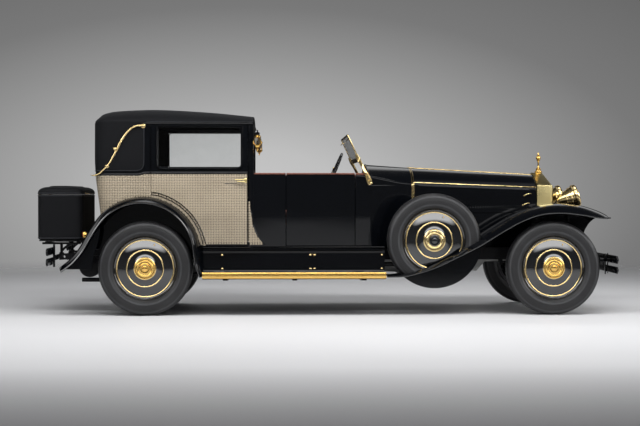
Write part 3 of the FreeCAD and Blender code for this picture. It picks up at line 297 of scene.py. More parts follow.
class Piece:
    """Collects closed surfaces in the car's own measures, x from the rear axle, and makes one object."""

    def __init__(self):
        self.points, self.faces, self.marks, self.count = [], [], [], 0

    def closed(self, points, faces, mark=0):
        """Adds a closed surface, turned over if the volume it encloses is negative."""
        points = np.asarray(points, float).reshape(-1, 3)
        centred = points - points.mean(0)
        a, b, c, d = (centred[faces[:, k]] for k in range(4))
        volume = (a * np.cross(b, c)).sum() + (a * np.cross(c, d)).sum()
        faces = faces if volume > 0 else faces[:, ::-1]
        self.points.append(points)
        self.faces.append(faces + self.count)
        self.marks.append(np.broadcast_to(np.asarray(mark), (len(faces),)))
        self.count += len(points)
        return self

    def tube(self, grid, mark=0, ring=False):
        """Adds rows of closed loops: a tube whose ends are drawn together, or a ring."""
        if not ring:
            grid = np.concatenate([np.broadcast_to(grid[0].mean(0), grid[:1].shape), grid,
                np.broadcast_to(grid[-1].mean(0), grid[:1].shape)])
        return self.surface(grid, mark, ring)

    def surface(self, grid, mark, ring=False):
        """Adds rows of closed loops as they stand, with one mark for all faces or one for each."""
        rows = np.arange(grid.shape[0] * grid.shape[1]).reshape(grid.shape[:2])
        return self.closed(grid, quads(rows, ring, True), mark)

    def wire(self, line, radius, sides=8, mark=0, up=(0, 0, 1), tall=1.0, loop=False):
        """Adds a round or oval wire along a line."""
        return self.tube(sweep(line, circle(radius, sides, tall), up, loop), mark, loop)

    def lathe(self, profile, centre, axis, sides, mark=0):
        """Adds a turned shape, its profile in millimetres as (radius, place along the axis)."""
        return self.tube(turned(np.array(profile) / 1000, centre, axis, sides), mark)

    def rod(self, start, end, radius, sides, mark=0):
        """Adds a round bar between two points."""
        return self.tube(rod(start, end, radius, sides), mark)

    def box(self, low, high, radius, mark=0):
        """Adds a box with soft edges."""
        return self.tube(soft_box(low, high, radius), mark)

    def sheet(self, grid, thick, facing):
        """Adds a sheet: its points, the same points moved back from its facing side by its thickness, and
        a rim."""
        outer = np.asarray(grid, float)
        normal = unit(np.cross(np.gradient(outer, axis=0), np.gradient(outer, axis=1)))
        normal = normal * np.sign((normal * facing).sum(-1, keepdims=True).mean())
        inner = outer - normal * thick
        size = outer.shape[0] * outer.shape[1]
        front = np.arange(size).reshape(outer.shape[:2])
        back = front + size
        faces = [quads(front), quads(back)[:, ::-1]]
        for line, other in ((front[0], back[0]), (back[-1], front[-1]), (back[:, 0], front[:, 0]),
                (front[:, -1], back[:, -1])):
            faces.append(quads(np.stack([other, line])))
        return self.closed(np.concatenate([outer.reshape(-1, 3), inner.reshape(-1, 3)]), np.concatenate(faces))

    def mesh(self, name):
        """All the surfaces so far as one mesh."""
        points = np.concatenate(self.points) + (AXLE, 0, 0)
        faces = np.concatenate(self.faces)
        mesh = bpy.data.meshes.new(name)
        mesh.vertices.add(len(points))
        mesh.vertices.foreach_set("co", points.astype(np.float32).ravel())
        mesh.loops.add(faces.size)
        mesh.loops.foreach_set("vertex_index", faces.astype(np.int32).ravel())
        mesh.polygons.add(len(faces))
        mesh.polygons.foreach_set("loop_start", np.arange(len(faces), dtype=np.int32) * 4)
        mesh.polygons.foreach_set("material_index", np.concatenate(self.marks).astype(np.int32))
        mesh.update(calc_edges=True)
        return mesh

    def make(self, name, body, finishes, slot, nodes=(), crease=35):
        """Builds the object and hangs it on its body."""
        return finish_piece(self.mesh(name), name, body, finishes, nodes, crease)


def joined(mesh, distance):
    """Joins the points of a mesh that are closer than the distance."""
    work = bmesh.new()
    work.from_mesh(mesh)
    bmesh.ops.remove_doubles(work, verts=work.verts, dist=distance)
    work.to_mesh(mesh)
    work.free()


def places(mesh):
    """The points of a mesh as rows."""
    flat = np.empty(len(mesh.vertices) * 3, np.float32)
    mesh.vertices.foreach_get("co", flat)
    return flat.reshape(-1, 3)


def finish_piece(mesh, name, body, finishes, nodes, crease):
    """Joins doubled points, smooths up to the crease angle, adds the finishes and hangs it on its body."""
    joined(mesh, 2e-6)
    mesh.validate()
    mesh.polygons.foreach_set("use_smooth", np.ones(len(mesh.polygons), bool))
    mesh.set_sharp_from_angle(angle=math.radians(crease))
    for finish in [finishes] if isinstance(finishes, str) else finishes:
        mesh.materials.append(FINISHES[finish].material)
    piece = bpy.data.objects.new(name, mesh)
    bpy.context.scene.collection.objects.link(piece)
    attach(piece, body)
    if nodes:
        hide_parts(*([nodes] if isinstance(nodes, str) else nodes))
    MADE.append(name)
    return piece


def refined(node, finish, face):
    """A copy of a node of the frame with its loose triangles joined and shaded smooth. With a face, which
    gives the half width at a place, whatever stands proud of it is pressed back onto it."""
    mesh = NODES[node].data.copy()
    mesh.materials.clear()
    mesh.polygons.foreach_set("material_index", np.zeros(len(mesh.polygons), np.int32))
    if face:
        points = places(mesh)
        most = face(points[:, 0] - AXLE, points[:, 2])
        points[:, 1] = np.clip(points[:, 1], -most, most)
        mesh.vertices.foreach_set("co", points.ravel())
    joined(mesh, 1e-5)
    for layer in [a for a in mesh.attributes if a.name in ("custom_normal", "sharp_face", "sharp_edge")]:
        mesh.attributes.remove(layer)
    return finish_piece(mesh, node + "_smooth", BODY_OF[node], finish, node, 30)


# %% [markdown]
# ## Drawing tools
# A maker's handful: a smooth line through a few points, a section carried along a line, a profile turned
# about an axis, a rounded bar and a rounded box. Every later shape is one of these or a formula of its own.

# %% Lines, sweeps and turned shapes
def smooth_line(points, count):
    """Catmull-Rom line through the points: each stretch is a cubic whose slope at a point is half the
    way between the neighbours of that point."""
    p = np.asarray(points, float)
    s = np.linspace(0, len(p) - 1, count)
    i = np.minimum(s.astype(int), len(p) - 2)
    t = (s - i)[:, None]
    p = np.concatenate([2 * p[:1] - p[1:2], p, 2 * p[-1:] - p[-2:-1]])
    a, b, c, d = p[i], p[i + 1], p[i + 2], p[i + 3]
    return 0.5 * (2 * b + (c - a) * t + (2 * a - 5 * b + 4 * c - d) * t ** 2 + (3 * b - a - 3 * c + d) * t ** 3)


def circle(radius, count, tall=1.0):
    """Points round a circle, or an oval that is that many times as tall."""
    turn = np.linspace(0, 2 * math.pi, count, endpoint=False)
    return np.stack([radius * np.cos(turn), radius * tall * np.sin(turn)], -1)


def rounded(width, height, radius, corner):
    """Outline of a rectangle with round corners, centred on zero: a quarter circle of so many points at
    each corner's own centre."""
    angle = np.linspace(0, math.pi / 2, corner) + np.arange(4)[:, None] * math.pi / 2
    centres = np.array([(1, 1), (-1, 1), (-1, -1), (1, -1)]) * (width / 2 - radius, height / 2 - radius)
    return (centres[:, None] + radius * np.stack([np.cos(angle), np.sin(angle)], -1)).reshape(-1, 2)


def sweep(path, section, up=(0, 0, 1), loop=False):
    """Carries a flat section along a path: its first measure goes sideways, its second along up."""
    path, section = np.asarray(path, float), np.asarray(section, float)
    ahead = unit(np.roll(path, -1, 0) - np.roll(path, 1, 0) if loop else np.gradient(path, axis=0))
    side = unit(np.cross(np.broadcast_to(np.asarray(up, float), path.shape), ahead))
    top = np.cross(ahead, side)
    section = section if section.ndim == 3 else section[None]
    return path[:, None] + side[:, None] * section[..., :1] + top[:, None] * section[..., 1:]


def turned(profile, centre, axis, count):
    """Turns a profile of (radius, place along the axis) about the axis through the centre."""
    profile = np.asarray(profile, float)
    axis = unit(np.asarray(axis, float))
    first = unit(np.cross(axis, (0.0, 0.0, 1.0) if abs(axis[2]) < 0.9 else (1.0, 0.0, 0.0)))
    second = np.cross(axis, first)
    turn = np.linspace(0, 2 * math.pi, count, endpoint=False)[None, :, None]
    reach = profile[:, :1, None] * (np.cos(turn) * first + np.sin(turn) * second)
    return np.asarray(centre, float) + reach + profile[:, 1:, None] * axis


def rod(start, end, radius, count=16):
    """A round bar between two points, with its ends turned in by a small nose."""
    start, end = np.asarray(start, float), np.asarray(end, float)
    length, nose = np.linalg.norm(end - start), radius * 0.15
    return turned([(radius - nose, 0), (radius, nose), (radius, length - nose), (radius - nose, length)],
        start, end - start, count)


def soft_box(low, high, radius, steps=3, corner=3):
    """A box whose upright edges are round and whose top and bottom edges roll in by a quarter circle."""
    low, high = np.asarray(low, float), np.asarray(high, float)
    middle, size = (low + high) / 2, high - low
    radius = min(radius, size.min() * 0.49)
    turn = np.linspace(0, math.pi / 2, steps)
    inset = np.concatenate([radius * (1 - np.sin(turn)), radius * (1 - np.cos(turn))])
    rise = np.concatenate([radius * (1 - np.cos(turn)), size[2] - radius + radius * np.sin(turn)])
    loops = [rounded(size[0] - 2 * i, size[1] - 2 * i, max(radius - i, radius * 0.25), corner) for i in inset]
    grid = np.zeros((len(inset), len(loops[0]), 3))
    grid[..., :2] = np.stack(loops) + middle[:2]
    grid[..., 2] = (low[2] + rise)[:, None]
    return grid


def mirror(grid):
    """The same points on the car's other side."""
    return np.asarray(grid) * (1, -1, 1)


SIDES = (("left", 1), ("right", -1))
print("tools ready")

# %% [markdown]
# ## Tyres
# A tyre of the time is tall and narrow, with raised bands round the sidewall and a tread of zigzag
# grooves. Turning a profile gives the bands; the grooves need more, because they wander from side to side
# as they go round. So the tread's radius is lowered where a point lies near a zigzag line.

# %% Six tyres
WHEEL_Y, WHEEL_Z, SPARE = 0.725, 0.43, (2.63, 0.69, 0.68)
TREAD_EDGE, COLUMNS = 0.4258, 192


def tyre_grid(centre, side):
    """Smooth profile turned about the axle; depth of a groove = 5.5 mm x bell of the distance from the
    zigzag y = row + 3.5 mm x triangle(48 x angle); height of a band = 1.6 mm x bell of the radius."""
    edge = [(0.2853, -0.05), (0.2853, 0.0), (0.2853, 0.05), (0.292, 0.0625), (0.306, 0.0735), (0.325, 0.0805),
        (0.352, 0.0827), (0.38, 0.0805), (0.4015, 0.0735), (0.4175, 0.062), (0.4255, 0.05)]
    side_line = smooth_line(edge[2:], 34)
    tread_y = np.linspace(0.048, -0.048, 50)
    tread = np.stack([0.4302 - 0.0042 * (tread_y / 0.048) ** 2, tread_y], -1)
    profile = np.concatenate([side_line, tread, side_line[::-1] * (1, -1)])
    turn = np.linspace(0, 2 * math.pi, COLUMNS, endpoint=False)
    r, y = profile[:, :1] + 0 * turn, profile[:, 1:] + 0 * turn
    zigzag = np.abs((turn * 48 / (2 * math.pi)) % 1 * 2 - 1) * 0.007 - 0.0035
    for row in (-0.036, -0.018, 0.0, 0.018, 0.036):
        r = r - 0.0055 * np.exp(-((y - row - zigzag) / 0.0019) ** 4) * (r > TREAD_EDGE)
    for ring in (0.315, 0.3345, 0.39, 0.404):
        y = y + np.sign(y) * 0.0016 * np.exp(-((r - ring) / 0.0032) ** 4) * (r < TREAD_EDGE)
    x = centre[0] + r * np.cos(turn)
    z = centre[2] + r * np.sin(turn)
    radius = profile[:, 0]
    bands = (np.abs(radius - 0.3245) < 0.009) | (np.abs(radius - 0.397) < 0.007)
    return np.stack([x, centre[1] + side * y, z], -1), np.repeat(bands.astype(int), COLUMNS)


def tyres(name, centres, body, nodes):
    """One piece for the tyres on one body."""
    piece = Piece()
    for centre, side in centres:
        grid, bands = tyre_grid(centre, side)
        piece.surface(grid, bands, True)
    return piece.make(name, body, ["tyre", "tyre_band"], "tyre", nodes, 30)


BASE = float(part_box("tyre_front_left")[0].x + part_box("tyre_front_left")[1].x) / 2 - AXLE
for end, x in (("front", BASE), ("rear", 0.0)):
    for side, sign in SIDES:
        tyres(f"{end}_{side}_tyre", [((x, sign * WHEEL_Y, WHEEL_Z), sign)], f"{end}_{side}_road_wheel",
            f"tyre_{end}_{side}")
tyres("spare_tyre_pair", [((SPARE[0], sign * SPARE[1], SPARE[2]), sign) for _, sign in SIDES],
    "car_body", "spare_tyres")
print("wheelbase", round(BASE, 3))

# %% [markdown]
# ## Disc wheels
# Polished discs cover wire or steel wheels: a shallow dish between two bright rings, with a bright cap
# over the hub. One turned profile makes the whole wheel, and each of its stretches has its own finish.

# %% Six wheels
# radius, place along the axle, and the finish of the stretch that ends there: 0 enamel, 1 brass, 2 steel
FACE = [(0.0, 0.101, 1), (0.016, 0.101, 1), (0.021, 0.0995, 1), (0.024, 0.096, 1), (0.03, 0.0945, 1),
    (0.04, 0.0968, 1), (0.045, 0.097, 1), (0.05, 0.0955, 1), (0.052, 0.0925, 1), (0.062, 0.0918, 1),
    (0.066, 0.0942, 1), (0.07, 0.0946, 1), (0.074, 0.0935, 1), (0.078, 0.09, 1), (0.087, 0.0898, 1),
    (0.092, 0.0906, 1), (0.0955, 0.089, 1), (0.0972, 0.085, 1), (0.0975, 0.0795, 1), (0.102, 0.078, 1),
    (0.112, 0.0745, 0), (0.128, 0.0712, 0), (0.146, 0.069, 0), (0.1595, 0.068, 0), (0.1605, 0.0705, 1),
    (0.1635, 0.0722, 1), (0.1675, 0.0722, 1), (0.1705, 0.0705, 1), (0.1715, 0.0672, 1), (0.186, 0.0652, 0),
    (0.205, 0.0615, 0), (0.224, 0.057, 0), (0.24, 0.0528, 0), (0.2515, 0.05, 0), (0.2525, 0.0525, 1),
    (0.256, 0.0545, 1), (0.262, 0.0545, 1), (0.2655, 0.052, 1), (0.2665, 0.049, 1), (0.272, 0.05, 0),
    (0.279, 0.0545, 0), (0.283, 0.06, 0), (0.285, 0.06, 0), (0.285, -0.06, 2), (0.263, -0.06, 2), (0.263, 0.028, 2),
    (0.165, 0.02, 0), (0.165, 0.002, 2), (0.167, 0.0, 2), (0.167, -0.06, 2), (0.165, -0.07, 2), (0.155, -0.07, 2),
    (0.155, 0.01, 2), (0.045, 0.01, 2), (0.045, -0.075, 2), (0.0181, -0.075, 2), (0.0181, 0.07, 2), (0.0, 0.07, 2)]


def disc_wheel(piece, centre, side, dark_cap=False):
    """The profile turned about the axle, outwards on its own side of the car."""
    count = 96
    table = np.asarray(FACE)
    marks = np.where((table[1:, 0] < 0.1) & (table[1:, 1] > 0.078), 3, table[1:, 2]).astype(int)
    if dark_cap:
        marks = np.where(marks == 3, np.where(table[1:, 0] < 0.053, 0, 1), marks)
    grid = turned(table[:, :2] * (1, side), centre, (0, 1, 0), count)
    piece.surface(grid, np.repeat(marks, count))
    for k in range(5):
        angle = 2 * math.pi * k / 5
        spot = np.array(centre) + (0.06 * math.cos(angle), side * 0.0905, 0.06 * math.sin(angle))
        piece.rod(spot, spot + (0, side * 0.0045, 0), 0.0032, 8, 1)
    stem = np.array(centre) + (0.236 * math.cos(1.2), side * 0.05, 0.236 * math.sin(1.2))
    piece.rod(stem, stem + (-0.004, side * 0.016, -0.012), 0.0042, 10, 1)


for end, x in (("front", BASE), ("rear", 0.0)):
    for side, sign in SIDES:
        wheel = Piece()
        disc_wheel(wheel, (x, sign * WHEEL_Y, WHEEL_Z), sign)
        wheel.make(f"{end}_{side}_disc", f"{end}_{side}_road_wheel", ["disc", "brass", "steel", "gold"], "paint",
            f"wheel_{end}_{side}", 30)
spares = Piece()
for side, sign in SIDES:
    disc_wheel(spares, (SPARE[0], sign * SPARE[1], SPARE[2]), sign, True)
spares.make("spare_discs", "car_body", ["disc", "brass", "steel", "gold"], "paint", "spare_wheels", 30)
print("wheels:", len([n for n in MADE if "disc" in n]))

# %% [markdown]
# ## Fenders
# A fender is a section that changes as it is carried along: an arc from the body over a crown to a wired
# edge. The stations give the edge's place, the way the arc leans and how far it rises; smooth lines between
# them give the long sweep. The front one has a well that the spare wheel stands in.

# %% Fender sections
EDGE_Y, EDGE_WIRE = 0.85, 0.0075


def arc_through(a, m, b, share):
    """Points on the circle through a, m and b (arrays of plane points), at shares of the way from a to b."""
    a, m, b = (np.asarray(p, float)[..., 0] + 1j * np.asarray(p, float)[..., 1] for p in (a, m, b))
    w = (b - a) / (m - a)
    centre = a + (m - a) * (w - np.abs(w) ** 2) / (w - np.conj(w))
    angle = (np.angle((m - centre) / (a - centre)) + np.angle((b - centre) / (m - centre)))
    spot = centre[..., None] + (a - centre)[..., None] * np.exp(1j * angle[..., None] * share)
    return np.stack([spot.real, spot.imag], -1)


def fender_grid(stations, inner_y, inner_rise, across):
    """Rise over the edge follows a circle through (inner, rise), (middle, crown) and (edge, 0) in the
    plane of each station, which leans from level by its own angle."""
    x, z, lean, crown = stations.T
    inner = np.broadcast_to(inner_y, x.shape)
    lean = np.radians(lean)
    a = np.stack([inner, np.broadcast_to(inner_rise, x.shape)], -1)
    m = np.stack([(inner + EDGE_Y) / 2 + 0.012, crown], -1)
    b = np.stack([np.full_like(x, EDGE_Y), 0 * x], -1)
    arc = arc_through(a, m, b, across)
    rise = arc[..., 1]
    return np.stack([x[:, None] + np.cos(lean)[:, None] * rise, arc[..., 0],
        z[:, None] + np.sin(lean)[:, None] * rise], -1)


ARCH = (-0.03, 0.55, 0.475)
arch_turn = np.radians(np.linspace(0, 150, 11))
over_wheel = np.stack([ARCH[0] + ARCH[2] * np.cos(arch_turn), ARCH[1] + ARCH[2] * np.sin(arch_turn),
    np.degrees(arch_turn), np.full(11, 0.045)], -1)
rear_table = np.concatenate([[(0.5, 0.352, 4, 0.03), (0.48, 0.4, 2, 0.04), (0.461, 0.455, 0, 0.045)], over_wheel,
    [(-0.5, 0.69, 148, 0.045), (-0.565, 0.58, 141, 0.044), (-0.65, 0.48, 131, 0.042), (-0.752, 0.402, 124, 0.036)]])
rear_stations = smooth_line(rear_table, 110)
ACROSS = np.linspace(0, 1, 22)
for side, sign in SIDES:
    fender = Piece()
    top = fender_grid(rear_stations, 0.7003, 0.039, ACROSS) * (1, sign, 1)
    fender.sheet(top, 0.004, top.mean((0, 1)) - (ARCH[0], sign * 0.775, ARCH[1]))
    fender.wire(top[:, -1], EDGE_WIRE, 8, 1, (0, 1, 0))
    # the plate that joins the fender's front foot to the running board's apron
    foot = top[(rear_stations[:, 0] > 0.3) & (rear_stations[:, 1] < 0.62), 0][:, None]
    apron_end = foot * (0, 0, 1) + (0.519, sign * 0.629, 0)
    fender.sheet(foot + (apron_end - foot) * np.linspace(0, 1, 5)[None, :, None], 0.003, (1, 0, 0))
    # the valance that closes the tail between the wheel and the tip
    line = rear_stations[(rear_stations[:, 0] < -0.2) & (rear_stations[:, 1] < 1.0)]
    share = np.linspace(0, 1, 10)[None, :, None]
    upper = np.stack([line[:, 0], np.full(len(line), sign * 0.765), line[:, 1] + 0.02], -1)
    lower = upper.copy()
    lower[:, 0] = ARCH[0] - np.sqrt(np.maximum(0.456 ** 2 - (upper[:, 2] - 0.43) ** 2, 0.3 ** 2))
    ease = np.clip((0.9 - upper[:, 2]) / 0.3, 0, 1)
    lower[:, 0] = np.maximum(lower[:, 0] - upper[:, 0], 0) * ease * ease * (3 - 2 * ease) + upper[:, 0] + 0.004
    fender.sheet(upper[:, None] * (1 - share) + lower[:, None] * share, 0.003, (0, sign, 0))
    fender.make(f"rear_fender_{side}", "car_body", ["enamel", "disc"], "paint",
        "rear_fenders" if sign > 0 else (), 40)

# %% Front fenders with their spare wells
front_table = np.array([(2192, 354, 90, 14), (2330, 358, 92, 22), (2443, 377, 100, 34), (2634, 438, 112, 50),
    (2825, 527, 117, 62), (3016, 623, 120, 70), (3207, 738, 120, 74), (3399, 846, 114, 74), (3590, 917, 103, 72),
    (3780, 932, 90, 84), (3972, 914, 80, 88), (4110, 890, 68, 74), (4200, 884, 56, 42),
    (4228, 885, 48, 12)]) / (1000, 1000, 1, 1000)
front_stations = smooth_line(front_table, 240)
HOOD_FRONT, COWL_FRONT, COWL_REAR = 3.65, 2.461, 2.04


def beside_hood(x):
    """The line that the fender's inner edge follows: along the cowl, the hood's foot and the radiator."""
    return np.interp(x, [2.19, COWL_FRONT, HOOD_FRONT, HOOD_FRONT + 0.03], [0.61, 0.4533, 0.3053, 0.325])


WELL = (SPARE[1] - 0.0905, SPARE[1] + 0.0905, 0.4345)


def cut_rows(stations, inner, y):
    """The fender's surface at fixed places across the car: for each station the rise is read off its arc."""
    dense = fender_grid(stations, inner, 0.01, np.linspace(0, 1, 80))
    out = np.empty((len(stations), len(y), 3))
    for row in range(len(stations)):
        for axis in (0, 2):
            out[row, :, axis] = np.interp(y, dense[row, :, 1], dense[row, :, axis])
    out[..., 1] = y
    return out


inner_line = beside_hood(front_stations[:, 0])
full = fender_grid(front_stations, inner_line, 0.01, np.linspace(0, 1, 30))
band_y = np.linspace(WELL[0], WELL[1], 13)
band = cut_rows(front_stations, inner_line, band_y)
from_spare = np.hypot(band[..., 0] - SPARE[0], band[..., 2] - SPARE[2])
inside = from_spare < WELL[2]
first = inside.argmax(0)
last = len(band) - 1 - inside[::-1].argmax(0)


def moved_to(start_rows, ends, rows):
    """Rows of the band between a fixed row and where the tyre's circle crosses it, evenly shared."""
    share = np.linspace(0, 1, rows)[:, None]
    place = start_rows + (ends - start_rows) * share
    low = np.minimum(place.astype(int), len(band) - 2)
    part = (place - low)[..., None]
    column = np.arange(len(band_y))[None, :]
    return band[low, column] * (1 - part) + band[low + 1, column] * part


def crossing(index, step):
    """Exact row, with its fraction, where the distance from the spare's centre equals the well's radius."""
    column = np.arange(len(band_y))
    one, two = from_spare[index, column], from_spare[index + step, column]
    return index + step * (WELL[2] - one) / (two - one)


for side, sign in SIDES:
    flip = (1, sign, 1)
    fender = Piece()
    up = (0, 0, 1)
    inner_y = np.linspace(0, 1, 8)[None, :]
    inside_strip = np.stack([cut_rows(front_stations[k:k + 1], inner_line[k:k + 1],
        inner_line[k] + (WELL[0] - inner_line[k]) * inner_y[0])[0] for k in range(len(front_stations))])
    outside_strip = cut_rows(front_stations, inner_line,
        WELL[1] + (EDGE_Y - WELL[1]) * np.sin(np.linspace(0, 1, 14) * math.pi / 2))
    outside_strip[:, -1] = full[:, -1]
    fender.sheet(inside_strip * flip, 0.004, up)
    fender.sheet(outside_strip * flip, 0.004, up)
    start, end = crossing(first, -1), crossing(last, 1)
    fender.sheet(moved_to(0 * start, start, 60) * flip, 0.004, up)
    fender.sheet(moved_to(end, 0 * end + len(band) - 1, 120) * flip, 0.004, up)
    fender.wire(full[:, -1] * flip, EDGE_WIRE, 8, 1, (0, 1, 0))
    # the sheet that hangs from the fender's inner edge and closes its nose, with a hollow front edge
    foot_x = np.linspace(3.6, 4.215, 40)
    roof_z = np.interp(foot_x, full[:, 0, 0], full[:, 0, 2]) - 0.002
    foot_z = np.interp(foot_x, [3.6, 3.8, 3.95, 4.045, 4.075, 4.1, 4.14, 4.18, 4.215], [0.66, 0.7, 0.675, 0.655,
        0.69, 0.765, 0.83, 0.865, 0.885])
    drop = np.linspace(0, 1, 10)[None, :]
    hang_z = roof_z[:, None] + (np.minimum(foot_z, roof_z - 0.003) - roof_z)[:, None] * drop
    hang_y = np.interp(foot_x, full[:, 0, 0], full[:, 0, 1])[:, None] + 0.02 * np.sin(drop * math.pi / 2) + 0.003
    fender.sheet(np.stack([np.broadcast_to(foot_x[:, None], hang_z.shape), hang_y, hang_z], -1) * flip,
        0.003, (0, sign, 0))
    # the well: a curved trough and its two flat cheeks below the fender's surface
    rear_edge, front_edge = moved_to(0 * start, start, 2)[-1], moved_to(end, 0 * end + len(band) - 1, 2)[0]
    angles = [np.arctan2(e[:, 2] - SPARE[2], e[:, 0] - SPARE[0]) for e in (rear_edge, front_edge)]
    angles[0] = np.where(angles[0] > 0, angles[0] - 2 * math.pi, angles[0])
    share = np.linspace(0, 1, 49)[:, None]
    swing = angles[0] + (angles[1] - angles[0]) * share
    trough = np.stack([SPARE[0] + WELL[2] * np.cos(swing), np.broadcast_to(band_y, swing.shape),
        SPARE[2] + WELL[2] * np.sin(swing)], -1)
    fender.sheet(trough * flip, -0.004, up)
    for column in (0, -1):
        arc = trough[:, column]
        surface = band[:, column]
        over = np.stack([arc[:, 0], arc[:, 1], np.interp(arc[:, 0], surface[:, 0], surface[:, 2])], -1)
        rise = np.linspace(0, 1, 8)[None, :, None]
        cheek = arc[:, None] * (1 - rise) + np.maximum(over, arc)[:, None] * rise
        fender.sheet((cheek + (0, 0.003 * (1 if column else -1), 0)) * flip, 0.004,
            (0, sign * (1 if column else -1), 0))
    fender.make(f"front_fender_{side}", "car_body", ["enamel", "disc"], "paint",
        "front_fenders" if sign > 0 else (), 40)
print("fenders:", len([n for n in MADE if "fender" in n]))

# %% [markdown]
# ## Cowl, hood and driver's compartment
# The hood is two sheets hinged on the centre line. Each has a crowned top, a soft shoulder and a side that
# is stamped with louvres. The cowl carries the same section back and widens it to the body.

# %% Hood halves with their louvres
def bonnet_section(foot, foot_z, half, shoulder, crown, share, soft=0.02):
    """Side rises straight from the foot to the shoulder, turns over a soft corner, and follows a circle to
    the centre line. share runs 0...1 up the side, 1...2 round the corner and 2...3 over the crown."""
    foot, foot_z, half, shoulder, crown = (np.asarray(v, float)[:, None]
        for v in (foot, foot_z, half, shoulder, crown))
    rise = crown - shoulder
    radius = (half ** 2 + rise ** 2) / (2 * rise)
    end_y = half - 2.2 * soft
    start_z = shoulder - soft
    start_y = half + (foot - half) * soft / (shoulder - foot_z)
    arc_z = crown - radius + np.sqrt(radius ** 2 - end_y ** 2)
    side, turn, top = np.clip(share, 0, 1), np.clip(share - 1, 0, 1), np.clip(share - 2, 0, 1)
    y = foot + (start_y - foot) * side
    z = foot_z + (start_z - foot_z) * side
    corner = (half, shoulder)
    y = np.where(share > 1, (1 - turn) ** 2 * start_y + 2 * turn * (1 - turn) * corner[0] + turn ** 2 * end_y, y)
    z = np.where(share > 1, (1 - turn) ** 2 * start_z + 2 * turn * (1 - turn) * corner[1] + turn ** 2 * arc_z, z)
    over = end_y * (1 - top)
    y = np.where(share > 2, over, y)
    return y, np.where(share > 2, crown - radius + np.sqrt(radius ** 2 - over ** 2), z)


HOOD = (COWL_FRONT + 0.0073, 3.6478)
HOOD_ENDS = np.array([(0.444, 0.93, 0.435, 1.214, 1.357), (0.3, 0.93, 0.3, 1.168, 1.292)])
LOUVRES, LOUVRE_LOW = 44, 0.975


def hood_at(x):
    """The section's five measures, on straight lines between the hood's two ends."""
    share = (x - HOOD[0]) / (HOOD[1] - HOOD[0])
    return HOOD_ENDS[0] + (HOOD_ENDS[1] - HOOD_ENDS[0]) * np.asarray(share)[:, None]


hood_x = np.linspace(HOOD[0], HOOD[1], 481)
hood_share = np.concatenate([np.linspace(0, 1, 26), np.linspace(1, 2, 7)[1:],
    np.linspace(2, 2.972, 16)[1:]])[None, :]
hood_y, hood_z = bonnet_section(*hood_at(hood_x).T, hood_share)
louvre_start, louvre_end = HOOD[0] + 0.05, HOOD[1] - 0.07
phase = (hood_x - louvre_start) / (louvre_end - louvre_start) * LOUVRES
saw = np.where((phase > 0) & (phase < LOUVRES),
    np.clip(1.25 * (phase % 1), 0, 1) * (phase % 1 < 0.86), 0.0)[:, None]
louvre_high = hood_at(hood_x)[:, 3:4] - 0.017
upright = np.clip((hood_z - LOUVRE_LOW) / 0.022, 0, 1) * np.clip((louvre_high - hood_z) / 0.008, 0, 1)
hood_y = hood_y + 0.0065 * saw * np.sin(upright * math.pi / 2) * (hood_share <= 1)
hood_grid = np.stack([np.broadcast_to(hood_x[:, None], hood_y.shape), hood_y, hood_z], -1)
shoulder_line = np.stack([hood_x[::12], *[v[:, 0]
    for v in bonnet_section(*hood_at(hood_x[::12]).T, np.array([[1.42]]))]], -1)
for side, sign in SIDES:
    hood = Piece()
    hood.sheet(hood_grid * (1, sign, 1), 0.003, (0, sign, 0.3))
    hood.wire(shoulder_line * (1, sign, 1) + (0, 0.0005 * sign, 0.0005), 0.0042, 8, 1)
    for end_x in (HOOD[0] + 0.004, HOOD[1] - 0.004):
        y, z = bonnet_section(*hood_at(np.array([end_x])).T, hood_share[:, 3:])
        rim = np.stack([np.full(y.shape[1], end_x), y[0] * sign, z[0]], -1)
        hood.wire(rim, 0.0028, 6, 1 if end_x < 3 else 0, (1, 0, 0))
    for x, z in ((3.56, 1.1), (3.545, 1.01)):
        y = bonnet_section(*hood_at(np.array([x])).T, np.array([[(z - 0.93) / 0.235]]))[0][0, 0] + 0.004
        hook = smooth_line([(x - 0.03, y + 0.002, z - 0.014), (x - 0.018, y + 0.01, z - 0.006),
            (x, y + 0.013, z + 0.004), (x + 0.02, y + 0.011, z + 0.007), (x + 0.034, y + 0.004, z + 0.006)], 16)
        hood.wire(hook * (1, sign, 1), 0.0042, 8, 1)
        hood.lathe([(9, 0), (9, 4), (5, 8)], (x - 0.028, sign * (y - 0.002), z - 0.014), (0, sign, 0), 14, 1)
    hood.make(f"hood_{side}_shell", f"hood_{side}_body", ["enamel", "brass"], "paint", f"hood_{side}", 38)

hinge = Piece()
hinge_x = np.linspace(2.452, 3.6535, 60)
hinge_z = np.interp(hinge_x, [COWL_FRONT, HOOD_FRONT], HOOD_ENDS[:, 4])
hinge.wire(np.stack([hinge_x, 0 * hinge_x, hinge_z], -1), 0.0068, 10)
hinge.make("hood_centre_hinge", "car_body", "brass", "brass")

# %% Cowl and its bands
def cowl_half(x):
    """Half width of the cowl, on a straight line from its rear to its front."""
    return 0.63 - 0.195 * (x - COWL_REAR) / (COWL_FRONT - COWL_REAR)


def cowl_section(x, share):
    """The hood's section again, on straight lines from the body's width at the rear to the hood's in front."""
    s = (np.asarray(x) - COWL_REAR) / (COWL_FRONT - COWL_REAR)
    half = cowl_half(x)
    return bonnet_section(half - 0.025 + 0.042 * s, 0 * s + 0.625, half, 1.205 + 0.009 * s,
        1.386 - 0.029 * s, share, 0.03)


